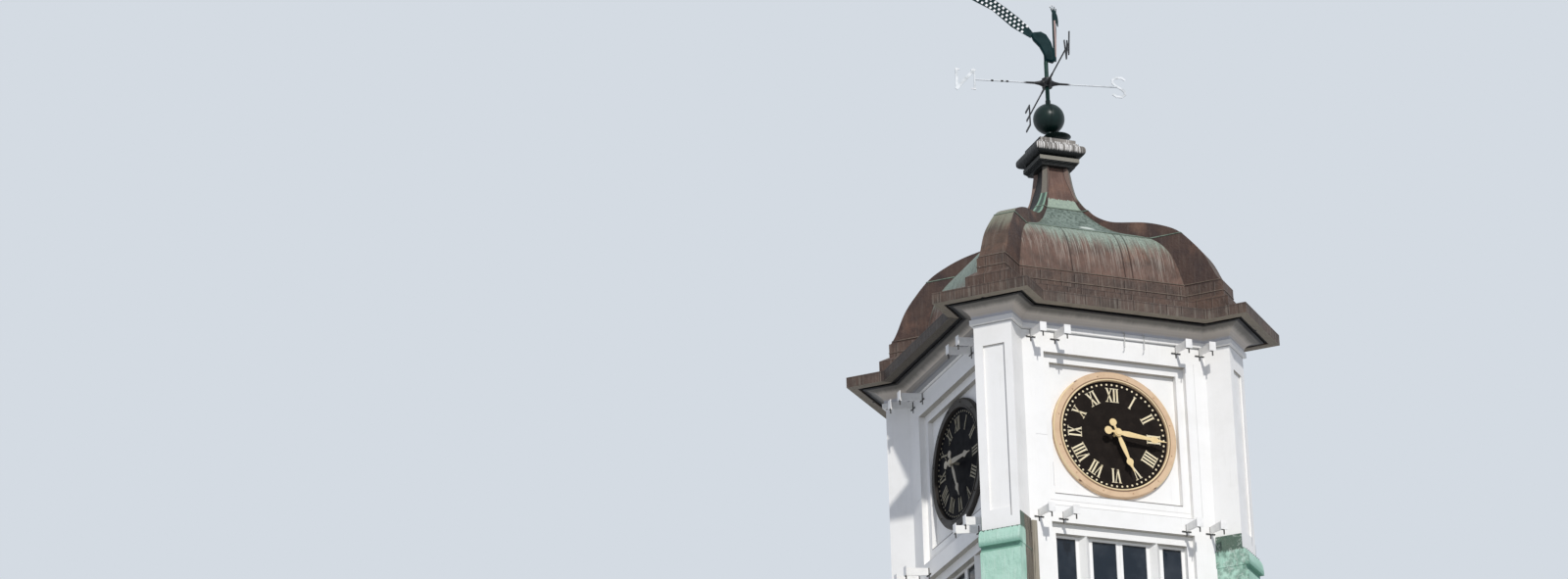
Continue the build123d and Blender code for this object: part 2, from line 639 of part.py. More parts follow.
def vane_rod():
    foot = BALL_CENTRE + BALL_R + COLLAR_HEIGHT - 8
    top = BIRD_FOOT - 4
    rod = Pos(0, 0, (foot + top) / 2) * Cylinder(ROD_R, top - foot)
    return rod + Pos(0, 0, top + PIN_LENGTH / 2) * Cylinder(PIN_R, PIN_LENGTH)


def letter_bar(near, start, end, stroke):
    """One straight stroke of a letter, in the XZ plane."""
    x0, z0 = start
    x1, z1 = end
    length = math.hypot(x1 - x0, z1 - z0)
    tilt = math.degrees(math.atan2(z1 - z0, x1 - x0))
    middle = Pos(near + (x0 + x1) / 2, 0, HUB_HEIGHT + (z0 + z1) / 2)
    return middle * Rot(0, -tilt, 0) * Box(length + stroke * 0.8, LETTER_THIN, stroke)


def letter(near, points, strokes):
    """A letter drawn as one line of bars, each with its own width."""
    solid = None
    for start, end, stroke in zip(points, points[1:], strokes):
        bar = letter_bar(near, start, end, stroke)
        solid = bar if solid is None else solid + bar
    return solid


def compass_letters():
    """Each letter by its arm's direction, with the reach of the arm that carries it."""
    top, foot = LETTER_HALF, -LETTER_HALF
    even = [LETTER_STROKE] * len(S_LINE)
    n_line = [(0, foot), (0, top), (N_WIDE, foot), (N_WIDE, top)]
    w_line = [(0, top), (W_WIDE / 4, foot), (W_WIDE / 2, top / 2), (W_WIDE * 0.75, foot), (W_WIDE, top)]
    e_line = [(E_WIDE, top), (0, top), (0, foot), (E_WIDE, foot)]
    e_letter = letter(E_NEAR, e_line, even) + letter(E_NEAR, [(0, 0), (E_WIDE * 0.8, 0)], even)
    return (
        (180.0, N_NEAR, letter(N_NEAR, n_line, N_STROKES)),
        (90.0, E_NEAR, e_letter),
        (0.0, S_NEAR + S_LINE[6][0] / 2, letter(S_NEAR, S_LINE, even)),
        (270.0, W_NEAR + W_WIDE / 8, letter(W_NEAR, w_line, even)),
    )


def compass_arm(reach):
    """Turned arm along X: a flared root, then a thin bar out to its letter."""
    edge = [(x, 0, HUB_HEIGHT + radius) for x, radius in ROOT_LINE]
    tip = ROOT_LINE[-1][0]
    edge += [(tip, 0, HUB_HEIGHT + ARM_R), (reach, 0, HUB_HEIGHT + ARM_R)]
    corners = [(0, 0, HUB_HEIGHT)] + edge + [(reach, 0, HUB_HEIGHT)]
    return revolve(make_face(Polyline(*corners, close=True)), Axis((0, 0, HUB_HEIGHT), (1, 0, 0)))


def compass_arms():
    """Hub with four flared roots, thin arms and the four letters."""
    solid = Pos(0, 0, HUB_HEIGHT) * Cylinder(HUB_R, HUB_DEPTH)
    for turn, reach, mark in compass_letters():
        solid += Rot(0, 0, turn + COMPASS_TURN) * (compass_arm(reach) + mark)
    return solid - Pos(0, 0, HUB_HEIGHT) * Cylinder(ROD_R, 2 * HUB_DEPTH)


def bird_plate(points, thickness, rounded=0.0):
    """Flat part of the bird in its own plane, heights from the bird's foot."""
    corners = [(x, 0, BIRD_FOOT + z) for x, z in points]
    plate = extrude(make_face(Polyline(*corners, close=True)), amount=thickness / 2, dir=(0, 1, 0), both=True)
    if rounded:
        plate = chamfer(plate.edges().filter_by(Axis.Y, reverse=True), rounded)
    return plate


def vane_bird():
    """Long-necked crested bird on a socket that turns on the rod's pin."""
    body = [(-160, 345), (-132, 384), (-40, 388), (20, 346), (72, 245), (98, 130), (108, 10), (76, -19),
            (0, 10), (-28, 110), (-72, 205), (-140, 290)]
    neck = [(88, 6), (124, -4), (134, 200), (143, 410), (140, 512), (152, 462), (166, 452), (170, 520),
            (162, 590), (150, 628), (154, 690), (138, 654), (132, 722), (120, 660), (104, 740), (108, 664),
            (78, 724), (100, 640), (97, 596), (93, 215)]
    tail = [(-130, 380), (-205, 492), (-295, 594), (-430, 722), (-574, 848), (-790, 1020), (-852, 1006),
            (-905, 905), (-606, 712), (-385, 480), (-260, 388), (-168, 322)]
    socket = Pos(0, 0, BIRD_FOOT + SOCKET_LENGTH / 2) * Cylinder(SOCKET_R, SOCKET_LENGTH)
    bird = bird_plate(body, BIRD_THICK, BIRD_THICK * 0.22)
    bird += bird_plate(neck, NECK_THICK)
    bird += bird_plate(tail, TAIL_THICK)
    bird += socket
    bore = 2 * SOCKET_LENGTH - 10
    bird -= Pos(0, 0, BIRD_FOOT) * Cylinder(PIN_R + PIN_GAP, bore)
    return Rot(0, 0, BIRD_HEADING) * bird


def lamp_bracket(x, top):
    """Flat bar on edge from the wall, with a cross rod at its foot, an end plate and a hook."""
    face = -WALL_FACE
    end = face - BAR_LENGTH
    end_top = top - BAR_FALL
    end_foot = end_top - BAR_END
    side = [(face, top), (end, end_top), (end, end_foot), (face, top - BAR_ROOT)]
    bar = extrude(make_face(Polyline(*[(x, y, z) for y, z in side], close=True)),
                  amount=BAR_THIN / 2, dir=(1, 0, 0), both=True)
    foot = block(x - FOOT_HALF, x + FOOT_HALF, face - FOOT_ROD, face, top - BAR_ROOT - FOOT_ROD / 2,
                 top - BAR_ROOT + FOOT_ROD / 2)
    strap = block(x - FOOT_ROD / 2, x + FOOT_ROD / 2, face - FOOT_ROD / 2, face, top - BAR_ROOT - STRAP, top)
    middle = x + END_PLATE_SHIFT
    plate = block(middle - END_PLATE_WIDE / 2, middle + END_PLATE_WIDE / 2, end - END_PLATE, end,
                  end_foot, end_foot + END_PLATE_TALL)
    hook_top = end_foot + FOOT_ROD / 2
    hook = block(x - BAR_THIN / 2, x + HOOK_REACH, end, end + FOOT_ROD, hook_top - FOOT_ROD, hook_top)
    hook += block(x + HOOK_REACH - FOOT_ROD, x + HOOK_REACH, end, end + FOOT_ROD, hook_top - HOOK_DROP, hook_top)
    return bar + foot + strap + plate + hook


def arm_brackets():
    """Eight brackets of one side: four under the cornice, four under the dial."""
    tops = (CORNICE_FOOT - UPPER_DROP, STAGE_SPLIT - LOWER_DROP)
    return [lamp_bracket(x, top) for top in tops for x in BRACKET_X]


def main():
    os.makedirs("parts", exist_ok=True)
    save("base_plinth", base_plinth())
    save("lower_floor", floor_plate(PLINTH_TOP))
    save("clock_floor", floor_plate(STAGE_SPLIT))

    shared_surrounds = []
    shared_rings = []
    one_window_wall = window_wall()
    one_frame = window_frame()
    one_glass = window_panes()
    one_clock_wall = clock_wall()
    one_surround = clock_surround()
    one_dial = dial()
    one_ring = dial_ring()
    one_minute = minute_hand()
    one_hour = hour_hand()
    one_brackets = arm_brackets()
    for side, turn in SIDES:
        spin = Rot(0, 0, turn)
        save(f"window_wall_{side}", spin * one_window_wall)
        save(f"window_frame_{side}", spin * one_frame)
        save(f"window_glass_{side}", *[spin * pane for pane in one_glass])
        save(f"clock_wall_{side}", spin * one_clock_wall)
        save(f"dial_{side}", spin * one_dial)
        save(f"minute_hand_{side}", spin * one_minute)
        save(f"hour_hand_{side}", spin * one_hour)
        save(f"bracket_arms_{side}", *[spin * piece for piece in one_brackets])
        shared_surrounds.append(spin * one_surround)
        shared_rings.append(spin * one_ring)
    save("clock_surrounds", *shared_surrounds)
    save("dial_rings", *shared_rings)

    one_pier = pier_upper()
    one_console = console()
    for corner, turn in CORNERS:
        spin = Rot(0, 0, turn)
        save(f"pier_{corner}", spin * one_pier)
        save(f"console_{corner}", spin * one_console)

    save("cornice", cornice())
    save("eave", eave())
    save("roof_curb", roof_curb())
    save("dome_skirt", skirt())
    bell = bell_dome()
    wide = 2 * BELL_HALF
    below = block(-wide, wide, -wide, wide, DOME_FOOT - DOME_HEIGHT, NECK_FOOT)
    save("dome", (bell & below) - bell_hollow())
    save("dome_neck", bell - below)
    save("cap", cap())
    save("finial_ball", finial_ball())
    save("vane_rod", vane_rod())
    save("compass_arms", compass_arms())
    save("vane_bird", vane_bird())


main()
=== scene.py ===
"""Looks of a timber clock turret with a copper bell dome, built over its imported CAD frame."""

import logging
import math
from collections.abc import Callable
from dataclasses import dataclass, field, replace
from enum import Enum

import bpy
from mathutils import Matrix, Vector


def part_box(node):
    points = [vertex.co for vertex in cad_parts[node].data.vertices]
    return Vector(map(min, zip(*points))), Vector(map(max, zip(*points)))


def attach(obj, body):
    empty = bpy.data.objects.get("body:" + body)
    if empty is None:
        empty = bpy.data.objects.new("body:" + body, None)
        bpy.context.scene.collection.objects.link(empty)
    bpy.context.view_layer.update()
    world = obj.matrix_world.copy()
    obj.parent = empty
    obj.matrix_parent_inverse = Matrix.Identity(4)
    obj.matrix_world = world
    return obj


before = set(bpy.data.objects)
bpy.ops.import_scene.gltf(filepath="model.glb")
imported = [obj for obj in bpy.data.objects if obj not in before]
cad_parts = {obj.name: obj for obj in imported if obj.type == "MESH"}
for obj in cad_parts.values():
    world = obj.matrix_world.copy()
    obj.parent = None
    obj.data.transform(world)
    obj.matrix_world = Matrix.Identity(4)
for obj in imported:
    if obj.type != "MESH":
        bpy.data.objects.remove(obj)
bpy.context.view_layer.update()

LOG = logging.getLogger("turret")
STATIC_BODY = "turret"
WALL_FACE = 1.440
PIER_HALF = 0.226
PIER_REACH = 2.110
DIAGONAL = math.sqrt(0.5)
BIRD_HEADING = math.radians(-24.0)
BYTE = 255
FACES_DOWN = (-0.5, -0.7)
FACES_WEST = (-0.35, -0.60)
SHEET_RELIEF = 0.003


class Turned(Enum):
    """Places round the axis, each by its turn in degrees."""

    @property
    def spin(self) -> Matrix:
        """Turn that carries a shape to this place."""
        return Matrix.Rotation(math.radians(self.value), 4, "Z")


class Side(Turned):
    """The four clock sides, by the turn that carries the front there."""

    front = 0.0
    right = 90.0
    back = 180.0
    left = 270.0


class Corner(Turned):
    """The four piers, by the turn that carries +X to their diagonal."""

    front_right = -45.0
    back_right = 45.0
    back_left = 135.0
    front_left = 225.0


def tone(*display: int) -> tuple[float, float, float, float]:
    """Linear colour of a display colour.

    Args:
        *display: Red, green and blue, 0 to 255.

    Returns:
        The colour as four linear values with full alpha.
    """
    linear = []
    for byte in display:
        share = byte / BYTE
        linear.append(share / 12.92 if share <= 0.04045 else ((share + 0.055) / 1.055) ** 2.4)
    return (*linear, 1.0)


def written(kind: str, turned: bool = False) -> Callable:
    """Operator that writes one step of arithmetic.

    Args:
        kind: Operation of the math node.
        turned: Put the other value first.

    Returns:
        The method that does so.
    """
    def method(self: "Value", other: object) -> "Value":
        """Write the step into the value's own tree."""
        return self.sheet.sum(kind, *((other, self) if turned else (self, other)))
    return method


class Value:
    """Output of a node, with arithmetic that writes nodes into its tree."""

    def __init__(self, sheet: "Sheet", socket: bpy.types.NodeSocket) -> None:
        """Keep the socket and the sheet of its tree."""
        self.sheet = sheet
        self.socket = socket

    __add__, __radd__ = written("ADD"), written("ADD", turned=True)
    __sub__, __rsub__ = written("SUBTRACT"), written("SUBTRACT", turned=True)
    __mul__, __rmul__ = written("MULTIPLY"), written("MULTIPLY", turned=True)
    __truediv__, __rtruediv__ = written("DIVIDE"), written("DIVIDE", turned=True)


class Sheet:
    """Writes nodes into one material or group tree."""

    def __init__(self, tree: bpy.types.NodeTree) -> None:
        """Keep the tree that the nodes go into."""
        self.tree = tree

    def node(self, kind: str, **settings: object) -> bpy.types.Node:
        """Add one node.

        Args:
            kind: Blender's type name of the node.
            **settings: Properties to set on it.

        Returns:
            The new node.
        """
        made = self.tree.nodes.new(kind)
        for name, value in settings.items():
            setattr(made, name, value)
        return made

    def feed(self, socket: bpy.types.NodeSocket, source: object) -> None:
        """Link a socket where the source is one, or set its own value."""
        source = source.socket if isinstance(source, Value) else source
        if isinstance(source, bpy.types.NodeSocket):
            self.tree.links.new(source, socket)
        else:
            socket.default_value = source

    def row(self, node: bpy.types.Node, *sources: object) -> Value:
        """Feed a node's first sockets in order and take its first output."""
        for socket, source in zip(node.inputs, sources):
            self.feed(socket, source)
        return Value(self, node.outputs[0])

    def fill(self, node: bpy.types.Node, **sources: object) -> bpy.types.Node:
        """Feed a node's sockets by name, spaces written as underscores."""
        for name, source in sources.items():
            self.feed(node.inputs[name.replace("_", " ")], source)
        return node

    def sum(self, kind: str, *sources: object, clamp: bool = False) -> Value:
        """One step of arithmetic.

        Args:
            kind: Operation of the math node.
            *sources: Its one or two values.
            clamp: Keep the result from 0 to 1.

        Returns:
            The result.
        """
        return self.row(self.node("ShaderNodeMath", operation=kind, use_clamp=clamp), *sources)

    def mix(self, share: object, low: object, high: object) -> Value:
        """Mix two colours, the second by a share."""
        made = self.node("ShaderNodeMix", data_type="RGBA")
        colours = [socket for socket in made.inputs if socket.type == "RGBA"]
        for socket, source in zip((made.inputs[0], *colours), (share, low, high)):
            self.feed(socket, source)
        return Value(self, next(socket for socket in made.outputs if socket.type == "RGBA"))

    def cover(self, colour: object, *layers: tuple[object, object]) -> Value:
        """Lay colours over a ground in order, each given as its share and itself."""
        for share, other in layers:
            colour = self.mix(share, colour, other)
        return colour

    def step(self, value: object, low: object, high: object) -> Value:
        """Smooth step from 0 at low to 1 at high; it falls where low is the larger number."""
        made = self.node("ShaderNodeMapRange", interpolation_type="SMOOTHSTEP")
        falls = not isinstance(low, Value) and low > high
        return self.row(made, value, *((high, low, 1.0, 0.0) if falls else (low, high, 0.0, 1.0)))

    def within(self, value: object, low: float, high: float) -> Value:
        """One between two places, zero outside them."""
        return self.sum("GREATER_THAN", value, low) * self.sum("LESS_THAN", value, high)

    def line(self, away: Value, half: object) -> Value:
        """One where a distance is zero, falling to zero at half a width."""
        return self.sum("SUBTRACT", 1.0, self.sum("ABSOLUTE", away) / half, clamp=True)

    def curve(self, value: object, points: tuple[tuple[float, float], ...]) -> Value:
        """Value that follows straight pieces between points.

        Args:
            value: Where to read the curve.
            points: Places with the value at each, in rising order.

        Returns:
            The curve's value.
        """
        low, high = points[0][0], points[-1][0]
        made = self.node("ShaderNodeFloatCurve")
        self.fill(made, Value=self.sum("DIVIDE", value - low, high - low, clamp=True))
        line = made.mapping.curves[0]
        while len(line.points) < len(points):
            line.points.new(0.5, 0.5)
        for spot, (place, height) in zip(line.points, points):
            spot.location = ((place - low) / (high - low), height)
            spot.handle_type = "VECTOR"
        made.mapping.update()
        return Value(self, made.outputs[0])

    def vector(self, *places: object) -> Value:
        """Vector of three values."""
        return self.row(self.node("ShaderNodeCombineXYZ"), *places)

    def split(self, vector: object) -> list[Value]:
        """The x, y and z of a vector."""
        made = self.node("ShaderNodeSeparateXYZ")
        self.row(made, vector)
        return [Value(self, socket) for socket in made.outputs]

    def noise(self, vector: object, detail: float, rough: float) -> Value:
        """Noise value at a vector that is already scaled."""
        made = self.node("ShaderNodeTexNoise")
        self.fill(made, Vector=vector, Scale=1.0, Detail=detail, Roughness=rough)
        return Value(self, made.outputs["Fac"])

    def blend(self, share: object, low: object, high: object, end: str) -> None:
        """Mix two shaders, the second by a share, and show them at the end node of that name."""
        made = self.row(self.node("ShaderNodeMixShader"), share, low, high)
        self.fill(self.tree.nodes[end], Surface=made)

    def use(self, group: bpy.types.NodeTree, **values: object) -> dict[str, Value]:
        """Place a shared group.

        Args:
            group: The group's tree.
            **values: Its inputs by name, spaces written as underscores.

        Returns:
            Its outputs by name.
        """
        made = self.fill(self.node("ShaderNodeGroup", node_tree=group), **values)
        return {socket.name: Value(self, socket) for socket in made.outputs}

    def give(self, **values: object) -> bpy.types.NodeTree:
        """Feed a group's outputs by name and hand its tree over."""
        self.fill(self.node("NodeGroupOutput"), **values)
        return self.tree

    def patches(self, size: float, seed: float, low: float, high: float) -> Value:
        """Soft patches of a size, which rise between two levels of their noise."""
        return self.use(FX.blotch, Size=size, Seed=seed, Low=low, High=high)["Mask"]

    def runs(self, width: float, length: float, seed: float, low: float, high: float) -> Value:
        """Upright runs of rain, which rise between two levels of their noise."""
        return self.use(FX.runs, Width=width, Length=length, Seed=seed, Low=low, High=high)["Mask"]

    def seam(self, value: object, at: float, half: float) -> Value:
        """Thin line where a value passes a place."""
        return self.use(FX.seam, Value=value, At=at, Half=half)["Mask"]


class Effects:
    """The shader groups that the finishes share, each built once."""

    def __init__(self) -> None:
        """Build every group."""
        self.face = self.face_group()
        self.runs = self.runs_group()
        self.blotch = self.blotch_group()
        self.seam = self.seam_group()
        self.brush = self.brush_group()
        self.welts = self.welts_group()

    @staticmethod
    def start(name: str, inputs: dict[str, float],
              outputs: tuple[str, ...]) -> tuple[Sheet, dict[str, Value]]:
        """Open a new group.

        Args:
            name: The group's name.
            inputs: Input names with their usual values.
            outputs: Output names.

        Returns:
            A sheet on its tree, and its inputs by name.
        """
        tree = bpy.data.node_groups.new(name, "ShaderNodeTree")
        for label, value in inputs.items():
            socket = tree.interface.new_socket(label, in_out="INPUT", socket_type="NodeSocketFloat")
            socket.default_value = value
        for label in outputs:
            kind = "NodeSocketVector" if label == "Point" else "NodeSocketFloat"
            tree.interface.new_socket(label, in_out="OUTPUT", socket_type=kind)
        sheet = Sheet(tree)
        return sheet, {socket.name: Value(sheet, socket) for socket in sheet.node("NodeGroupInput").outputs}

    def face_group(self) -> bpy.types.NodeTree:
        """Coordinates that follow a face: along it sideways, upward, and its place among the hips."""
        names = ("Point", "Across", "Height", "Rise", "Fold", "Reach", "Squareness", "Offset", "East",
                 "North")
        least_flat = 0.02
        sheet, _ = self.start("face_place", {}, names)
        where = sheet.node("ShaderNodeTexCoord").outputs
        x, y, z = sheet.split(where["Object"])
        east, north, rise = sheet.split(where["Normal"])
        flat = sheet.sum("MAXIMUM", sheet.sum("SQRT", east * east + north * north), least_flat)
        wide, deep = sheet.sum("ABSOLUTE", x), sheet.sum("ABSOLUTE", y)
        fold = sheet.sum("ABSOLUTE", wide - deep) * DIAGONAL
        reach = (wide + deep) * DIAGONAL
        square = east * sheet.sum("SIGN", x) + north * sheet.sum("SIGN", y)
        pier = sheet.sum("MAXIMUM", reach - PIER_REACH, fold - PIER_HALF)
        wall = sheet.sum("MAXIMUM", wide, deep) - WALL_FACE
        return sheet.give(Point=where["Object"], Across=(east * y - north * x) / flat, Height=z, Rise=rise,
                          Fold=fold, Reach=reach, Squareness=square * DIAGONAL,
                          Offset=sheet.sum("MINIMUM", pier, wall), East=east, North=north)

    def runs_group(self) -> bpy.types.NodeTree:
        """Vertical runs of rain and dirt, broad ones with finer ones among them."""
        usual = {"Width": 0.04, "Length": 0.6, "Seed": 0.0, "Low": 0.45, "High": 0.7}
        finer, shorter, broad_share = 3.1, 1.7, 0.65
        sheet, given = self.start("rain_runs", usual, ("Mask",))
        face = sheet.use(self.face)
        across = face["Across"] / given["Width"]
        down = face["Height"] / given["Length"]
        broad = sheet.noise(sheet.vector(across, down, given["Seed"]), detail=3.0, rough=0.6)
        fine = sheet.noise(sheet.vector(across * finer, down * shorter, given["Seed"]), detail=2.0, rough=0.5)
        both = broad * broad_share + fine * (1.0 - broad_share)
        return sheet.give(Mask=sheet.step(both, given["Low"], given["High"]))

    def blotch_group(self) -> bpy.types.NodeTree:
        """Soft patches of a given size."""
        usual = {"Size": 0.3, "Seed": 0.0, "Low": 0.4, "High": 0.65}
        sheet, given = self.start("patches", usual, ("Mask",))
        scaled = sheet.node("ShaderNodeVectorMath", operation="SCALE")
        sheet.fill(scaled, Vector=sheet.use(self.face)["Point"], Scale=1.0 / given["Size"])
        moved = sheet.node("ShaderNodeVectorMath", operation="ADD")
        place = sheet.row(moved, scaled.outputs[0], sheet.vector(*[given["Seed"]] * 3))
        mottle = sheet.noise(place, detail=5.0, rough=0.6)
        return sheet.give(Mask=sheet.step(mottle, given["Low"], given["High"]))

    def seam_group(self) -> bpy.types.NodeTree:
        """Thin line where a value passes a place."""
        sheet, given = self.start("sheet_seam", {"Value": 0.0, "At": 0.0, "Half": 0.006}, ("Mask",))
        return sheet.give(Mask=sheet.line(given["Value"] - given["At"], given["Half"]))

    def welts_group(self) -> bpy.types.NodeTree:
        """Upright joints between sheets at uneven steps: a dark line and a pale edge beside it."""
        usual = {"Pitch": 0.17, "Half": 0.004, "Seed": 0.0}
        first, spread, edge_away, edge_wide = 0.25, 0.5, 2.0, 1.5
        sheet, given = self.start("sheet_welts", usual, ("Line", "Edge"))
        half = given["Half"]
        place = sheet.use(self.face)["Across"] / given["Pitch"] + given["Seed"]
        chance = sheet.node("ShaderNodeTexWhiteNoise", noise_dimensions="1D")
        sheet.fill(chance, W=sheet.sum("FLOOR", place))
        spot = first + Value(sheet, chance.outputs["Value"]) * spread
        away = (sheet.sum("FRACT", place) - spot) * given["Pitch"]
        edge = sheet.line(away - half * edge_away, half * edge_wide)
        return sheet.give(Line=sheet.line(away, half), Edge=edge)

    def brush_group(self) -> bpy.types.NodeTree:
        """Relief of brushed paint with faint grain under it."""
        strand, stroke = 0.012, 0.16
        sheet, given = self.start("brush_marks", {"Seed": 0.0}, ("Height",))
        face = sheet.use(self.face)
        place = sheet.vector(face["Across"] / strand, face["Height"] / stroke, given["Seed"])
        return sheet.give(Height=sheet.noise(place, detail=3.0, rough=0.6))


FX = Effects()


@dataclass(frozen=True)
class Coat:
    """What a finish puts on its surface."""

    colour: object
    roughness: object
    height: object
    depth: float


@dataclass(frozen=True)
class Finish:
    """A named finish that builds one material."""

    name: str
    specular: float = 0.4

    def coat(self, sheet: Sheet) -> Coat:
        """Colour, roughness and relief; each kind of finish has its own."""
        raise NotImplementedError

    def settle(self, sheet: Sheet, skin: bpy.types.Node) -> None:
        """Set plain values on the shader's own sockets."""
        sheet.fill(skin, Specular_IOR_Level=self.specular)

    def build(self) -> bpy.types.Material:
        """Make the material.

        Returns:
            The new material.
        """
        made = bpy.data.materials.new(self.name)
        made.use_nodes = True
        sheet = Sheet(made.node_tree)
        skin = made.node_tree.nodes["Principled BSDF"]
        coat = self.coat(sheet)
        bump = sheet.fill(sheet.node("ShaderNodeBump"), Strength=1.0, Distance=coat.depth, Height=coat.height)
        sheet.fill(skin, Base_Color=coat.colour, Roughness=coat.roughness, Normal=bump.outputs[0])
        self.settle(sheet, skin)
        return made


@dataclass(frozen=True)
class PaintedTimber(Finish):
    """White paint on boards, a little chalky and streaked by rain."""

    fresh: tuple = tone(247, 246, 243)
    chalk: tuple = tone(238, 237, 233)
    dirt: tuple = tone(170, 164, 150)
    dirtiness: float = 0.16
    gloss: float = 0.42

    def coat(self, sheet: Sheet) -> Coat:
        """White with faint chalky patches, broken runs and brushed relief."""
        chalky = sheet.patches(size=0.42, seed=3.0, low=0.42, high=0.68)
        runs = sheet.runs(width=0.05, length=0.7, seed=5.0, low=0.5, high=0.78)
        broken = sheet.patches(size=0.9, seed=11.0, low=0.45, high=0.62)
        colour = sheet.cover(self.fresh, (chalky * 0.6, self.chalk),
                             (runs * broken * self.dirtiness, self.dirt))
        return Coat(colour, self.gloss + chalky * 0.16, sheet.use(FX.brush, Seed=1.0)["Height"], depth=0.0012)


@dataclass(frozen=True)
class WallLine:
    """Dark line on the wall, either an open joint between boards or a painted shadow line: where it runs, how
    dark it is and on which part of the wall.
    """

    along: str
    at: float
    half: float
    share: float
    limits: tuple


@dataclass(frozen=True)
class WallPaint(PaintedTimber):
    """Painted walls and piers with open joints, painted shadow lines, and undersides darkened partly by dirt
    and partly by painted shade.
    """

    under: tuple = tone(150, 143, 130)
    shadow: tuple = tone(84, 79, 74)
    groove: float = 2.0
    # Dark lines: open joints between boards, and three painted shadow lines marked below.
    joints: tuple = (
        # Painted shadow line under the cornice's fillet.
        WallLine("Height", 5.142, 0.010, 0.75, (("Offset", -0.01, 0.01),)),
        # Painted shadow line at the foot of the clock panel.
        WallLine("Height", 3.258, 0.013, 1.00, (("Across", -0.772, 0.772), ("Offset", -0.09, -0.03))),
        WallLine("Height", 3.175, 0.005, 0.35, (("Across", -0.865, 0.865), ("Offset", -0.09, -0.03))),
        WallLine("Height", 3.091, 0.006, 0.45,
                   (("Across", -0.865, 0.865), ("Offset", -0.01, 0.01), ("Reach", 0.0, 1.7))),
        # Painted shade in the right reveal of the clock panel.
        WallLine("Across", 0.773, 0.006, 0.55, (("Height", 3.26, 4.81), ("Offset", -0.14, -0.06))),
        WallLine("Across", -0.777, 0.006, 0.40, (("Height", 3.34, 3.62), ("Offset", -0.14, -0.06))),
        WallLine("Across", 0.126, 0.009, 0.95, (("Height", 2.86, 4.89), ("Reach", 2.06, 2.12))),
        WallLine("Across", -0.842, 0.005, 0.40, (("Height", 3.17, 3.48), ("Offset", -0.14, -0.03))),
        WallLine("Height", 3.905, 0.004, 0.35,
                   (("Across", -1.00, -0.86), ("Offset", -0.10, 0.01), ("Reach", 0.0, 1.9))),
        WallLine("Across", 0.972, 0.004, 0.30, (("Height", 3.06, 4.95), ("Offset", -0.01, 0.01))),
    )

    def coat(self, sheet: Sheet) -> Coat:
        """White boards, darker where they face down (partly dirt, partly painted shade), with thin dark
        lines: open joints, and painted shadow lines under the fillet, at the clock panel's foot and in its
        right reveal.
        """
        base = super().coat(sheet)
        face = sheet.use(FX.face)
        # Faces that look down are darkened, partly as dirt and partly as painted shade.
        colour = sheet.mix(sheet.step(face["Rise"], *FACES_DOWN) * 0.85, base.colour, self.under)
        height = base.height
        for joint in self.joints:
            line = sheet.seam(face[joint.along], at=joint.at, half=joint.half)
            for name, low, high in joint.limits:
                line = line * sheet.within(face[name], low, high)
            # Each line darkens the boards, as an open joint or as the painted shadow lines marked above.
            colour = sheet.mix(line * joint.share, colour, self.shadow)
            height = height - line * self.groove
        return replace(base, colour=colour, height=height)


@dataclass(frozen=True)
class CornicePaint(PaintedTimber):
    """White fillet at the foot, and above it a cove with painted shade."""

    low: tuple = tone(206, 207, 212)
    middle: tuple = tone(206, 196, 184)
    top: tuple = tone(118, 114, 107)
    gap: tuple = tone(14, 13, 13)
    painted_west_shade: tuple = tone(62, 62, 64)
    low_from: tuple = (5.207, 5.211)
    middle_from: tuple = (5.232, 5.268)
    top_from: tuple = (5.308, 5.350)
    gap_from: tuple = (5.351, 5.356)
    west_from: tuple = (-0.60, -0.85)
    north_to: tuple = (-0.5, -0.3)

    def coat(self, sheet: Sheet) -> Coat:
        """Painted shade that deepens up the cove, a painted black shadow in the gap under the eave, and
        painted shade on the west side.
        """
        base = super().coat(sheet)
        face = sheet.use(FX.face)
        height = face["Height"]
        level = height + sheet.runs(width=0.09, length=0.25, seed=31.0, low=0.3, high=0.7) * 0.008
        west = sheet.step(face["East"], *self.west_from) * 0.55 * sheet.step(face["North"], *self.north_to)
        # Painted shade: bluish grey low on the cove, darker grey higher up with an uneven edge, darker on
        # west faces, black in the gap under the eave.
        return replace(base, colour=sheet.cover(
            base.colour, (sheet.step(height, *self.low_from), self.low),
            (sheet.step(level, *self.middle_from), self.middle),
            (sheet.step(level, *self.top_from), self.top), (west, self.painted_west_shade),
            (sheet.step(height, *self.gap_from), self.gap)))


@dataclass(frozen=True)
class BareBoards(Finish):
    """Unpainted floor boards."""

    light: tuple = tone(158, 130, 100)
    dark: tuple = tone(96, 74, 54)
    gap: tuple = tone(40, 30, 24)
    wide: float = 0.15
    grain: tuple = (0.01, 0.3)

    def coat(self, sheet: Sheet) -> Coat:
        """Grain along the boards with dark joints."""
        x, y, _ = sheet.split(sheet.use(FX.face)["Point"])
        across, along = self.grain
        place = sheet.vector(x / across, y / along, sheet.sum("FLOOR", x / self.wide))
        grain = sheet.noise(place, detail=5.0, rough=0.6)
        joint = sheet.seam(sheet.sum("FRACT", x / self.wide), at=0.5, half=0.03)
        colour = sheet.cover(self.dark, (sheet.step(grain, 0.3, 0.7), self.light), (joint, self.gap))
        return Coat(colour, 0.75, grain - joint, depth=0.002)


@dataclass(frozen=True)
class WindowGlass(Finish):
    """Dark panes with old, slightly uneven glass."""

    deep: tuple = tone(26, 40, 54)
    dust: tuple = tone(84, 90, 98)
    clearness: float = 0.35
    bending: float = 1.45

    def coat(self, sheet: Sheet) -> Coat:
        """Dark glass with a thin film of dust."""
        film = sheet.patches(size=0.35, seed=8.0, low=0.45, high=0.8)
        wave = sheet.patches(size=0.25, seed=2.0, low=0.2, high=0.8)
        return Coat(sheet.mix(film * 0.5, self.deep, self.dust), 0.05 + film * 0.12, wave, depth=0.0015)

    def settle(self, sheet: Sheet, skin: bpy.types.Node) -> None:
        """Glass that lets some light through."""
        sheet.fill(skin, Transmission_Weight=self.clearness, IOR=self.bending)


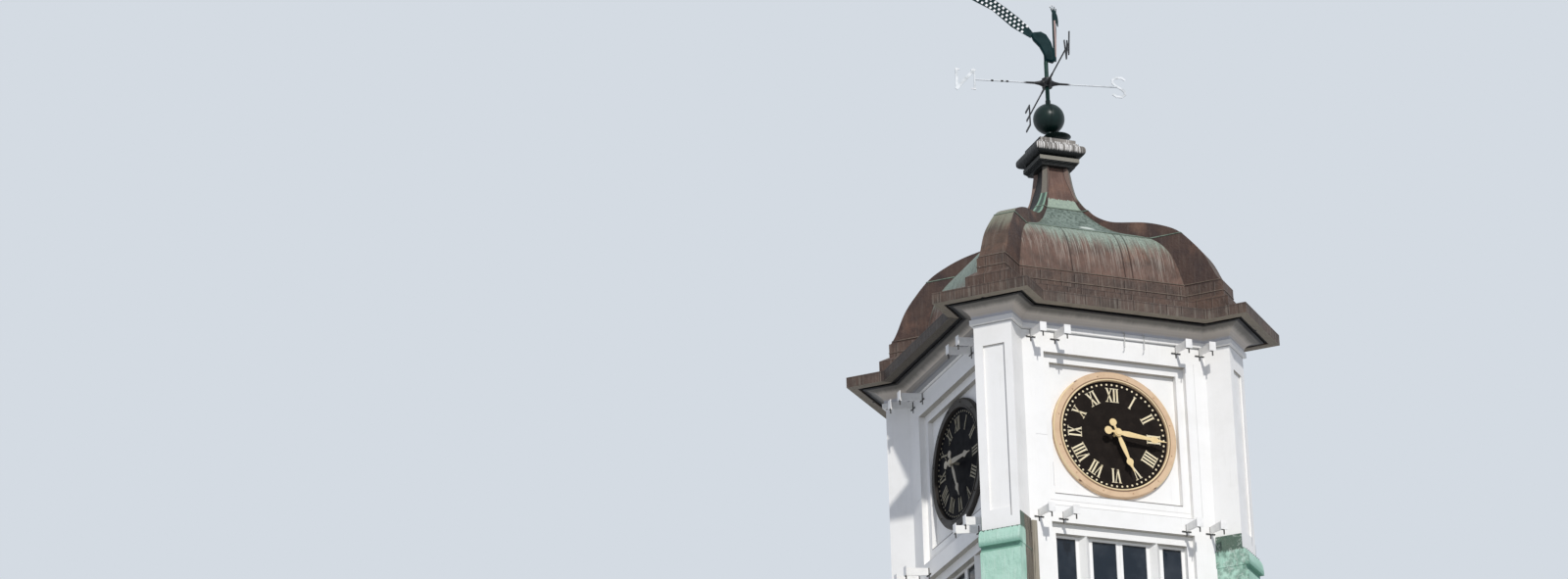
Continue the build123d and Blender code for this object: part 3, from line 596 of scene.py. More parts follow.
@dataclass(frozen=True)
class SheetCopper(Finish):
    """Oxidised copper sheet: mottled brown, chalky in the runs, with upright joints."""

    plain: tuple = tone(112, 86, 74)
    dark: tuple = tone(76, 58, 49)
    warm: tuple = tone(128, 96, 78)
    run: tuple = tone(164, 154, 142)
    streaks: float = 0.5
    welt: tuple = tone(50, 38, 35)
    pitch: float = 0.21
    welt_half: float = 0.005
    welt_seed: float = 3.0
    gloss: float = 0.6

    def ground(self, sheet: Sheet) -> tuple[Value, Value]:
        """Brown sheet with runs; the colour and the relief."""
        tint = sheet.patches(size=0.22, seed=4.0, low=0.35, high=0.7)
        warm = sheet.patches(size=0.45, seed=21.0, low=0.5, high=0.7)
        fine = sheet.patches(size=0.035, seed=9.0, low=0.35, high=0.75)
        runs = sheet.runs(width=0.035, length=0.5, seed=6.0, low=0.48, high=0.72)
        return sheet.cover(self.plain, (tint, self.dark), (warm * 0.6, self.warm), (fine * 0.25, self.dark),
                           (runs * self.streaks, self.run)), fine

    def lined(self, sheet: Sheet, colour: object, value: Value, places: tuple, share: float,
              half: float = 0.008) -> Value:
        """Dark lines over a ground where a value passes some places."""
        lines = [sheet.seam(value, at=place, half=half) * share for place in places]
        return sheet.cover(colour, *((line, self.welt) for line in lines))

    def coat(self, sheet: Sheet) -> Coat:
        """Streaked brown with upright joints."""
        colour, relief = self.ground(sheet)
        welts = sheet.use(FX.welts, Pitch=self.pitch, Half=self.welt_half, Seed=self.welt_seed)
        colour = sheet.cover(colour, (welts["Edge"] * 0.3, self.run), (welts["Line"] * 0.6, self.welt))
        return Coat(colour, self.gloss, relief - welts["Line"] * 2.0, SHEET_RELIEF)


@dataclass(frozen=True)
class CurbCopper(SheetCopper):
    """Darker sheets of the courses at the bell's foot."""

    plain: tuple = tone(90, 71, 61)
    dark: tuple = tone(64, 50, 43)
    warm: tuple = tone(106, 82, 68)
    run: tuple = tone(146, 137, 126)
    laps: tuple = (5.848, 5.722)

    def coat(self, sheet: Sheet) -> Coat:
        """Streaked brown with upright joints and level laps."""
        base = super().coat(sheet)
        height = sheet.use(FX.face)["Height"]
        # The line at 5.848 sits just under the skirt's lap band and is painted shadow of that band; the line
        # at 5.722 has no band above it.
        return replace(base, colour=self.lined(sheet, base.colour, height, self.laps, 0.7))


@dataclass(frozen=True)
class EaveCopper(SheetCopper):
    """Streaked fascia, a pale band under its edge and a black painted shadow in the gap behind the band."""

    plain: tuple = tone(90, 73, 64)
    dark: tuple = tone(66, 54, 47)
    warm: tuple = tone(104, 85, 72)
    run: tuple = tone(144, 139, 127)
    streaks: float = 0.55
    welt_seed: float = 9.0
    lap: float = 5.468
    band: tuple = tone(140, 130, 115)
    stained: tuple = tone(112, 106, 92)
    gap: tuple = tone(16, 14, 14)
    gap_behind: tuple = (0.243, 0.241)
    west_from: tuple = (-1.60, -1.70)
    west_half: float = 1.02

    def coat(self, sheet: Sheet) -> Coat:
        """Band and black gap on what faces down, streaks on what stands, painted shade on the west fascia."""
        base = super().coat(sheet)
        face = sheet.use(FX.face)
        x, y, _ = sheet.split(face["Point"])
        colour = self.lined(sheet, base.colour, face["Height"], (self.lap,), 0.8)
        stains = sheet.patches(size=0.10, seed=33.0, low=0.45, high=0.75)
        # The black in the gap behind the band is painted shadow.
        inner = sheet.step(face["Offset"], *self.gap_behind)
        soffit = sheet.cover(self.band, (stains * 0.5, self.stained), (inner, self.gap))
        # The west fascia takes the gap's black at about half strength as painted shade.
        west = sheet.step(x, *self.west_from) * sheet.within(y, -self.west_half, self.west_half)
        return replace(base, colour=sheet.cover(
            colour, (sheet.step(face["Rise"], *FACES_DOWN), soffit), (west * 0.55, self.gap)))


@dataclass(frozen=True)
class DomeCopper(SheetCopper):
    """Dome sheets: verdigris near the neck that runs down over the brown."""

    green: tuple = tone(130, 144, 134)
    moss: tuple = tone(74, 88, 79)
    pale: tuple = tone(158, 174, 156)
    chalk: tuple = tone(186, 178, 166)
    verdigris: tuple = tone(172, 188, 172)
    side: tuple = tone(56, 41, 38)
    painted_shade_black: tuple = tone(16, 20, 21)
    flank: tuple = tone(132, 112, 102)
    crest: tuple = tone(132, 132, 114)
    strip: tuple = tone(120, 114, 104)
    leaf: tuple = tone(142, 176, 154)
    white: tuple = tone(214, 222, 212)
    gloss: float = 0.62
    laps: tuple = (5.990, 6.668, 7.200)
    lap_half: float = 0.003
    left_from: tuple = (-0.35, -0.95)
    right_from: tuple = (0.75, 1.15)
    tongues: tuple = (0.22, 0.13, 0.10, 0.28)
    chalk_from: tuple = (6.05, 6.50)
    verdigris_from: tuple = (6.44, 6.74)
    crest_from: tuple = (6.42, 6.80)
    leaf_span: tuple = (6.95, 7.44)
    strip_from: tuple = (7.43, 7.45)
    flank_from: tuple = (7.33, 7.40)
    panel_from: tuple = (7.336, 7.346)
    west_shade_from: tuple = (7.10, 7.32)
    stain: tuple = ((0.12, 0.12), (6.840, 0.060))
    seams: tuple = (-0.36, 0.29, 0.385)
    hip_half: tuple = ((5.970, 0.160), (6.248, 0.1576), (6.471, 0.1456), (6.700, 0.120), (6.949, 0.0896),
                       (7.196, 0.0592), (7.346, 0.0456), (7.544, 0.0384), (7.800, 0.0328))

    def below_lap(self, sheet: Sheet, face: dict[str, Value], colour: Value) -> Value:
        """Verdigris that runs down from the upper lap and ends in chalk streaks."""
        wander = sheet.runs(width=0.04, length=1.2, seed=14.0, low=0.3, high=0.7)
        left = sheet.step(face["Across"], *self.left_from)
        right = sheet.step(face["Across"], *self.right_from)
        west = sheet.step(face["East"], *FACES_WEST)
        by_chance, to_left, to_right, to_west = self.tongues
        level = face["Height"] + wander * by_chance - left * to_left - right * to_right + west * to_west
        grain = sheet.runs(width=0.010, length=0.22, seed=41.0, low=0.36, high=0.62)
        speck = sheet.patches(size=0.024, seed=43.0, low=0.50, high=0.64)
        thin = sheet.runs(width=0.014, length=0.5, seed=17.0, low=0.50, high=0.62)
        green = sheet.cover(self.verdigris, (grain * 0.6, self.moss), (speck * 0.5, self.moss))
        return sheet.cover(colour, (sheet.step(level, *self.chalk_from) * thin * 0.62, self.chalk),
                           (sheet.step(level, *self.verdigris_from) * 0.92, green))

    def above_lap(self, sheet: Sheet, face: dict[str, Value], colour: Value) -> Value:
        """Mottled green sheets, the pale band under the neck and the neck's brown panel."""
        height = face["Height"]
        _, lower, upper = self.laps
        mottle = sheet.patches(size=0.036, seed=2.0, low=0.44, high=0.60)
        patch = sheet.patches(size=0.30, seed=27.0, low=0.45, high=0.62)
        green = sheet.cover(self.green, (mottle * 0.85, self.moss), (patch * 0.35, self.moss))
        pale = sheet.mix(mottle * 0.5, self.pale, self.green)
        (across, wide), (level, tall) = self.stain
        stain = (sheet.seam(face["Across"], at=across, half=wide) * sheet.seam(height, at=level, half=tall)
                 * sheet.step(face["North"], -0.1, -0.3))
        panel, _ = SheetCopper("panel", plain=tone(108, 82, 72), dark=tone(86, 64, 55),
                               run=tone(138, 116, 104), streaks=0.45).ground(sheet)
        edge = height - sheet.runs(width=0.02, length=0.3, seed=51.0, low=0.3, high=0.7) * 0.03
        half = self.lap_half
        return sheet.cover(
            colour, (sheet.step(height, lower - half, lower + half), green),
            (sheet.step(stain, 0.05, 0.45), self.white),
            (sheet.step(height, upper - half, upper + half), pale),
            (sheet.step(edge, *self.panel_from), panel))

    def hips(self, sheet: Sheet, face: dict[str, Value], colour: Value) -> Value:
        """Dark sides, weathered crests, the crest's green hollow under the neck and near black painted shade
        on the west.
        """
        height, east = face["Height"], face["East"]
        width = sheet.curve(height, self.hip_half)
        core = face["Fold"] / width
        on_hip = sheet.step(face["Fold"] - width, 0.008, 0.002)
        steep = sheet.step(face["Squareness"], 0.32, 0.18) * sheet.step(face["Rise"], 0.94, 0.86)
        brown, _ = SheetCopper("side", plain=tone(76, 57, 48), dark=self.side, streaks=0.10).ground(sheet)
        warm, _ = SheetCopper("crest", plain=tone(92, 73, 61), dark=tone(64, 51, 42),
                              streaks=0.30).ground(sheet)
        level = height + sheet.runs(width=0.05, length=0.9, seed=14.0, low=0.3, high=0.7) * 0.20
        leaf = sheet.cover(self.moss, (sheet.step(core, 0.25, 0.75), self.leaf),
                           (sheet.step(core, 0.86, 0.96), self.side))
        edge = sheet.mix(sheet.step(core, 0.80, 0.95), self.strip, self.side)
        crest = sheet.cover(warm, (sheet.step(level, *self.crest_from), self.crest),
                            (sheet.within(height, *self.leaf_span), leaf),
                            (sheet.step(height, *self.strip_from), edge))
        flank = sheet.mix(sheet.step(height, *self.flank_from), brown, self.flank)
        # Painted shade: faces towards the west on the hips and neck go near black.
        west = sheet.sum("MAXIMUM", sheet.step(east, -0.80, -0.92), steep * sheet.step(east, -0.30, -0.55))
        west = west * sheet.step(face["North"], -0.30, -0.20) * sheet.step(height, *self.west_shade_from)
        return sheet.cover(colour, (on_hip, sheet.mix(steep, crest, flank)), (west * 0.94, self.painted_shade_black))

    def coat(self, sheet: Sheet) -> Coat:
        """Brown at the foot, green towards the neck, near black painted shade on the neck's west side, and
        painted shadow under the lap bands.
        """
        face = sheet.use(FX.face)
        colour, relief = self.ground(sheet)
        colour = self.below_lap(sheet, face, colour)
        lower_sheets = sheet.within(face["Height"], *self.laps[:2])
        for place in self.seams:
            line = sheet.seam(face["Across"], at=place, half=0.009) * lower_sheets
            colour = sheet.mix(line * 0.75, colour, self.welt)
            relief = relief - line * 3.0
        colour = self.hips(sheet, face, self.above_lap(sheet, face, colour))
        # Dark lines just under the lap bands: painted shadow of the bands.
        colour = self.lined(sheet, colour, face["Height"], self.laps, 0.8, half=0.010)
        return Coat(colour, self.gloss, relief, SHEET_RELIEF)


@dataclass(frozen=True)
class ConsoleCopper(SheetCopper):
    """Bright verdigris with drips, painted shade in its hollow; timber at its left back, mottled on its
    right.
    """

    plain: tuple = tone(184, 222, 204)
    dark: tuple = tone(162, 204, 184)
    warm: tuple = tone(198, 228, 213)
    run: tuple = tone(222, 236, 226)
    drip: tuple = tone(92, 140, 122)
    mottled: tuple = tone(84, 108, 94)
    scratch: tuple = tone(206, 214, 206)
    hollow: tuple = tone(128, 172, 154)
    stain: tuple = tone(58, 66, 54)
    timber: tuple = tone(150, 141, 126)
    crack: tuple = tone(52, 46, 40)
    streaks: float = 0.45
    gloss: float = 0.62
    stain_from: tuple = (2.719, 2.737)
    hollow_from: tuple = (2.459, 2.489)
    hollow_to: tuple = (2.606, 2.536)
    bare_to: tuple = (2.015, 2.009)
    front_from: float = 2.10
    side_from: float = 1.0

    def coat(self, sheet: Sheet) -> Coat:
        """Mint sheets with what lies over them, in order."""
        face = sheet.use(FX.face)
        height, reach, across = face["Height"], face["Reach"], face["Across"]
        colour, relief = self.ground(sheet)
        drips = sheet.runs(width=0.014, length=0.35, seed=61.0, low=0.56, high=0.66)
        # Painted shade: the hollow under the nose is coloured a darker green.
        hollow = (sheet.step(height, *self.hollow_to) * sheet.step(height, *self.hollow_from)
                  * sheet.sum("GREATER_THAN", reach, self.front_from))
        level = height + sheet.runs(width=0.022, length=0.30, seed=91.0, low=0.40, high=0.66) * 0.034
        edge = sheet.step(level, *self.stain_from)
        grain = sheet.runs(width=0.006, length=0.8, seed=71.0, low=0.44, high=0.60)
        back = reach + sheet.patches(size=0.08, seed=73.0, low=0.3, high=0.7) * 0.012
        bare = sheet.step(back, *self.bare_to) * sheet.sum("LESS_THAN", across, -self.side_from)
        right = sheet.sum("GREATER_THAN", across, self.side_from)
        patch = sheet.patches(size=0.07, seed=77.0, low=0.35, high=0.65)
        score = sheet.seam(sheet.patches(size=0.16, seed=79.0, low=0.0, high=1.0), at=0.52, half=0.022)
        colour = sheet.cover(
            colour, (drips * 0.45, self.drip), (hollow, self.hollow), (edge * 0.85, self.stain),
            (right * patch * 0.65, self.mottled), (score * right * 0.7, self.scratch),
            (bare, sheet.mix(grain, self.timber, self.crack)))
        return Coat(colour, self.gloss, relief - bare * grain, SHEET_RELIEF)


@dataclass(frozen=True)
class BareTimber(Finish):
    """Grey timber that has lost its paint, with open cracks."""

    pale: tuple = tone(178, 170, 154)
    grey: tuple = tone(142, 134, 119)
    crack: tuple = tone(58, 52, 45)

    def coat(self, sheet: Sheet) -> Coat:
        """Upright grain with dark cracks."""
        grain = sheet.runs(width=0.006, length=0.6, seed=95.0, low=0.36, high=0.64)
        crack = sheet.runs(width=0.010, length=0.9, seed=97.0, low=0.56, high=0.62)
        colour = sheet.cover(self.pale, (grain, self.grey), (crack, self.crack))
        return Coat(colour, 0.85, grain - crack * 3.0, depth=0.002)


@dataclass(frozen=True)
class CapPaint(SheetCopper):
    """Grey coating on the cap: streaked roll, with near black painted shade in its hollows, under it and on
    its west side.
    """

    plain: tuple = tone(122, 117, 110)
    dark: tuple = tone(78, 73, 68)
    warm: tuple = tone(156, 150, 142)
    run: tuple = tone(240, 237, 232)
    streaks: float = 0.95
    painted_shade_black: tuple = tone(22, 25, 25)
    fillet: tuple = tone(136, 132, 121)
    fillet_span: tuple = (7.853, 7.901)
    roll_span: tuple = (7.926, 8.096)
    shade_below_roll: tuple = (7.966, 7.928)
    groove: float = 8.071
    under: tuple = (-0.35, -0.60)

    def coat(self, sheet: Sheet) -> Coat:
        """Painted black shade in the cove, the groove and the lower roll, pale fillet, roll streaked white
        above.
        """
        face = sheet.use(FX.face)
        height = face["Height"]
        colour, relief = self.ground(sheet)
        streak = sheet.runs(width=0.016, length=0.6, seed=83.0, low=0.48, high=0.58)
        on_roll = sheet.within(height, *self.roll_span)
        level = height - sheet.runs(width=0.02, length=0.4, seed=81.0, low=0.35, high=0.65) * 0.035
        line = sheet.seam(height, at=self.groove, half=0.010)
        # Painted shade: black below the roll, in the groove, on faces that look down and on faces towards the
        # west.
        colour = sheet.cover(
            colour, (streak * on_roll * 0.85, self.run),
            (sheet.step(level, *self.shade_below_roll), self.painted_shade_black),
            (sheet.within(height, *self.fillet_span), self.fillet),
            (line * 0.7, self.painted_shade_black), (sheet.step(face["Rise"], *self.under), self.painted_shade_black),
            (sheet.step(face["East"], *FACES_WEST) * 0.92, self.painted_shade_black))
        return Coat(colour, self.gloss, relief, SHEET_RELIEF)


@dataclass(frozen=True)
class PlainPaint(Finish):
    """Even paint with slight patches and a few worn specks."""

    fresh: tuple = tone(30, 25, 22)
    worn: tuple = tone(44, 38, 34)
    speck: tuple = tone(60, 52, 46)
    gloss: float = 0.45
    speckle: float = 0.3

    def coat(self, sheet: Sheet) -> Coat:
        """Paint with patches and specks."""
        patch = sheet.patches(size=0.12, seed=7.0, low=0.4, high=0.7)
        spots = sheet.patches(size=0.016, seed=19.0, low=0.62, high=0.72)
        colour = sheet.cover(self.fresh, (patch * 0.7, self.worn), (spots * self.speckle, self.speck))
        return Coat(colour, self.gloss + patch * 0.12, patch, depth=0.0006)


@dataclass(frozen=True)
class ShadedPaint(PlainPaint):
    """Paint of the dial work, darker on the west dial; on the dial face, numerals and hands this is painted
    shade.
    """

    west_dial_tone: tuple = tone(128, 122, 110)
    west_of: float = -1.15

    def coat(self, sheet: Sheet) -> Coat:
        """The paint, darker on its west face."""
        base = super().coat(sheet)
        x, _, _ = sheet.split(sheet.use(FX.face)["Point"])
        west = sheet.sum("LESS_THAN", x, self.west_of)
        # On the west dial's face, numerals and hands the darker tone is painted shade.
        return replace(base, colour=sheet.mix(west, self.marked(sheet, base.colour), self.west_dial_tone))

    def marked(self, sheet: Sheet, colour: Value) -> Value:
        """Lines over the paint; none on a plain one."""
        return colour


@dataclass(frozen=True)
class RingPaint(ShadedPaint):
    """Buff ring with a bright lip at its inner edge and brown circles."""

    fresh: tuple = tone(220, 190, 156)
    worn: tuple = tone(206, 174, 140)
    speck: tuple = tone(150, 112, 82)
    bright: tuple = tone(236, 214, 172)
    west_dial_tone: tuple = tone(46, 41, 36)
    circle: tuple = tone(96, 64, 42)
    lip: tuple = (0.662, 0.658)
    centre: float = 4.030
    circles: tuple = ((0.6680, 0.0110), (0.7560, 0.0060))

    def marked(self, sheet: Sheet, colour: Value) -> Value:
        """Brown circles over the buff, with a bright lip inside them."""
        face = sheet.use(FX.face)
        up = face["Height"] - self.centre
        radius = sheet.sum("SQRT", face["Across"] * face["Across"] + up * up)
        lines = [sheet.seam(radius, at=place, half=half) for place, half in self.circles]
        return sheet.cover(colour, (sheet.step(radius, *self.lip), self.bright),
                           *((line, self.circle) for line in lines))


@dataclass(frozen=True)
class BracketSteel(PlainPaint):
    """White bars with dark rods, straps and hooks."""

    bare: tuple = tone(58, 56, 52)
    near_wall: float = 0.0125
    hooks: tuple = ((4.940, 5.013), (2.820, 2.889))

    def coat(self, sheet: Sheet) -> Coat:
        """White paint, dark where the rods and hooks are."""
        base = super().coat(sheet)
        face = sheet.use(FX.face)
        dark = sheet.sum("LESS_THAN", face["Offset"], self.near_wall)
        for low, high in self.hooks:
            dark = sheet.sum("MAXIMUM", dark, sheet.within(face["Height"], low, high))
        return replace(base, colour=sheet.mix(dark, base.colour, self.bare))


@dataclass(frozen=True)
class BirdPaint(PlainPaint):
    """Dark green bird with a pale painted highlight in a strip down its neck."""

    painted_sunlit_strip: tuple = tone(176, 152, 146)
    heading: float = BIRD_HEADING
    strip: tuple = (0.116, 0.136)
    rise: tuple = (9.29, 9.77)

    def coat(self, sheet: Sheet) -> Coat:
        """The paint, with a painted sunlit strip on the neck's outer side."""
        base = super().coat(sheet)
        x, y, z = sheet.split(sheet.use(FX.face)["Point"])
        along = x * math.cos(self.heading) + y * math.sin(self.heading)
        # Painted highlight: the sunlit side of the neck.
        painted_sunlit_strip = sheet.within(along, *self.strip) * sheet.within(z, *self.rise)
        return replace(base, colour=sheet.mix(painted_sunlit_strip, base.colour, self.painted_sunlit_strip))


@dataclass(frozen=True)
class ArmMetal(PlainPaint):
    """Compass arms: black about the hub, pale paint further out, dark cross arms."""

    fresh: tuple = tone(226, 230, 232)
    worn: tuple = tone(168, 174, 176)
    speck: tuple = tone(70, 70, 68)
    black: tuple = tone(22, 22, 24)
    turn: float = math.radians(-10.0)
    pale_from: tuple = (0.24, 0.30)

    def coat(self, sheet: Sheet) -> Coat:
        """Pale along the two long arms, black near the axis and on the others."""
        base = super().coat(sheet)
        x, y, _ = sheet.split(sheet.use(FX.face)["Point"])
        along = x * math.cos(self.turn) + y * math.sin(self.turn)
        far = sheet.step(sheet.sum("ABSOLUTE", along), *self.pale_from)
        return replace(base, colour=sheet.mix(far, self.black, base.colour))


class Finishes:
    """Every finish of the turret, and which nodes take it."""

    def __init__(self) -> None:
        """Build the materials."""
        self.timber = WallPaint("painted_timber").build()
        self.cornice = CornicePaint("cornice_paint", dirtiness=0.35).build()
        self.floor = BareBoards("floor_boards").build()
        self.glass = WindowGlass("window_glass").build()
        self.eave = EaveCopper("eave_copper").build()
        self.curb = CurbCopper("curb_copper", streaks=0.45).build()
        self.lap = PlainPaint("lap_copper", fresh=tone(114, 100, 88), worn=tone(76, 62, 54),
                              speck=tone(188, 178, 168), speckle=0.7, gloss=0.6).build()
        self.green_lap = PlainPaint("green_lap", fresh=tone(126, 142, 126), worn=tone(66, 80, 70),
                                    speck=tone(180, 190, 172), speckle=0.5, gloss=0.6).build()
        self.mark = PlainPaint("white_mark", fresh=tone(247, 247, 247), worn=tone(236, 236, 236),
                               speck=tone(200, 200, 200), gloss=0.5).build()
        self.dome = DomeCopper("dome_copper").build()
        self.console = ConsoleCopper("console_copper").build()
        self.side_board = BareTimber("bare_timber").build()
        self.cap = CapPaint("cap_paint").build()
        self.black = ShadedPaint("dial_black", west_dial_tone=tone(9, 9, 15), gloss=0.6, specular=0.06).build()
        self.ring = RingPaint("dial_ring", gloss=0.5).build()
        self.gilt = ShadedPaint("gilt", fresh=tone(240, 214, 160), worn=tone(228, 198, 144),
                                west_dial_tone=tone(156, 148, 132), speck=tone(180, 140, 90), gloss=0.38).build()
        self.numeral = ShadedPaint("numeral_gilt", fresh=tone(240, 228, 196), worn=tone(230, 212, 170),
                                   speck=tone(180, 150, 100), west_dial_tone=tone(132, 124, 102), gloss=0.4).build()
        self.steel = BracketSteel("white_steel", fresh=tone(246, 245, 242), worn=tone(226, 225, 222),
                                  speck=tone(150, 140, 130)).build()
        self.wire = PlainPaint("hook_wire", fresh=tone(214, 214, 210), worn=tone(150, 148, 142)).build()
        self.nail = PlainPaint("nail_copper", fresh=tone(40, 52, 44), worn=tone(70, 84, 72)).build()
        self.ball = PlainPaint("dark_green", fresh=tone(8, 34, 30), worn=tone(5, 24, 23),
                               speck=tone(24, 48, 42), gloss=0.33, specular=0.32).build()
        self.bird = BirdPaint("vane_green", fresh=tone(10, 44, 47), worn=tone(6, 30, 33),
                              speck=tone(40, 70, 68), specular=0.08).build()
        self.rod = PlainPaint("rod_green", fresh=tone(24, 60, 52), worn=tone(14, 40, 36),
                              speck=tone(60, 90, 80), specular=0.2).build()
        self.arms = ArmMetal("vane_metal", gloss=0.4, speckle=0.5).build()

    def by_node(self, name: str) -> bpy.types.Material:
        """Material of a CAD node, by how its name starts.

        Args:
            name: The node's name.

        Returns:
            The material that its surface takes.
        """
        starts = {
            "cornice": self.cornice, "eave": self.eave, "roof_curb": self.curb, "dome_skirt": self.curb,
            "dome": self.dome, "cap": self.cap, "finial_ball": self.ball, "vane_rod": self.rod,
            "compass_arms": self.arms, "vane_bird": self.bird, "lower_floor": self.floor,
            "clock_floor": self.floor, "window_glass": self.glass, "dial_rings": self.ring,
            "dial_": self.black, "minute_hand": self.gilt, "hour_hand": self.gilt,
            "console": self.console, "bracket_arms": self.steel,
        }
        return next((material for start, material in starts.items() if name.startswith(start)), self.timber)

    def dress_frame(self) -> None:
        """Give every CAD node its material."""
        for name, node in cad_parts.items():
            material = self.by_node(name)
            if not node.data.materials:
                node.data.materials.append(material)
            for slot in node.material_slots:
                slot.material = material
            LOG.info("node %s takes %s", name, material.name)


class Bench:
    """Modelling bench: meshes are started, shaped and finished here."""

    @staticmethod
    def clear() -> None:
        """Close any open mesh and leave nothing selected."""
        if bpy.context.object and bpy.context.object.mode != "OBJECT":
            bpy.ops.object.mode_set(mode="OBJECT")
        bpy.ops.object.select_all(action="DESELECT")

    @staticmethod
    def take(piece: bpy.types.Object) -> bpy.types.Object:
        """Link a new object, select it alone and make it active."""
        Bench.clear()
        bpy.context.scene.collection.objects.link(piece)
        bpy.context.view_layer.objects.active = piece
        piece.select_set(True)
        return piece

    @staticmethod
    def open(name: str) -> None:
        """Start an empty mesh of a name and open it for editing."""
        Bench.take(bpy.data.objects.new(name, bpy.data.meshes.new(name)))
        bpy.ops.object.mode_set(mode="EDIT")

    @staticmethod
    def close(bevel: float = 0.0, smooth: float = 0.0) -> bpy.types.Object:
        """Finish the open mesh.

        Args:
            bevel: Width of a bevel on every edge.
            smooth: Angle in degrees up to which edges are shaded smooth.

        Returns:
            The finished object, in object mode.
        """
        bpy.ops.mesh.select_all(action="SELECT")
        bpy.ops.mesh.normals_make_consistent(inside=False)
        bpy.ops.object.mode_set(mode="OBJECT")
        piece = bpy.context.object
        if bevel:
            Bench.modify(piece, "BEVEL", width=bevel, segments=1, limit_method="ANGLE")
        if smooth:
            bpy.ops.object.shade_smooth_by_angle(angle=math.radians(smooth))
        return piece

    @staticmethod
    def modify(piece: bpy.types.Object, kind: str, **settings: object) -> None:
        """Put a modifier on the active piece and apply it."""
        modifier = piece.modifiers.new(kind.lower(), kind)
        for name, value in settings.items():
            setattr(modifier, name, value)
        bpy.ops.object.modifier_apply(modifier=modifier.name)

    @staticmethod
    def block(centre: Vector, size: tuple[float, float, float], turn: Matrix = Matrix.Identity(3)) -> None:
        """Add a block to the open mesh."""
        bpy.ops.mesh.primitive_cube_add(size=1.0, location=centre, rotation=turn.to_euler(), scale=size)

    @staticmethod
    def rod(start: Vector, end: Vector, radius: float, far: float = 0.0, sides: int = 12) -> None:
        """Add a round rod between two points, its far end narrower where given."""
        start, end = Vector(start), Vector(end)
        line = end - start
        bpy.ops.mesh.primitive_cone_add(
            vertices=sides, radius1=radius, radius2=far or radius, depth=line.length,
            location=(start + end) / 2, rotation=line.to_track_quat("Z", "Y").to_euler())

    @staticmethod
    def twin(piece: bpy.types.Object, place: Matrix, name: str) -> bpy.types.Object:
        """Copy a shape to a place under a name."""
        made = piece.copy()
        made.data = piece.data.copy()
        made.data.transform(place)
        made.name = name
        bpy.context.scene.collection.objects.link(made)
        return made

    @staticmethod
    def join(pieces: list[bpy.types.Object]) -> bpy.types.Object:
        """Join pieces into the first of them."""
        Bench.clear()
        for piece in pieces:
            piece.select_set(True)
        bpy.context.view_layer.objects.active = pieces[0]
        bpy.ops.object.join()
        return pieces[0]

    @staticmethod
    def copies(piece: bpy.types.Object, places: list[Matrix], name: str) -> bpy.types.Object:
        """Copy a modelled shape to several places and join them.

        Args:
            piece: The shape, modelled once.
            places: Where each copy goes.
            name: Name of the joined piece.

        Returns:
            One object that holds every copy.
        """
        made = Bench.join([Bench.twin(piece, place, name) for place in places])
        bpy.data.objects.remove(piece)
        made.name = name
        return made

    @staticmethod
    def to_sides(piece: bpy.types.Object, name: str, material: bpy.types.Material, slot: str) -> None:
        """Carry a front piece to all four sides, the side's name added to its own."""
        for side in Side:
            Bench.finish(Bench.twin(piece, side.spin, f"{name}_{side.name}"), material, slot)
        bpy.data.objects.remove(piece)

    @staticmethod
    def finish(piece: bpy.types.Object, material: bpy.types.Material, slot: str,
               body: str = STATIC_BODY) -> None:
        """Give a finished piece its material and body."""
        piece.data.materials.clear()
        piece.data.materials.append(material)
        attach(piece, body)
        LOG.info("piece %s rides on %s", piece.name, body)


class Stroke(Enum):
    """Strokes of the dial's numerals."""

    one = "I"
    five = "V"
    ten = "X"


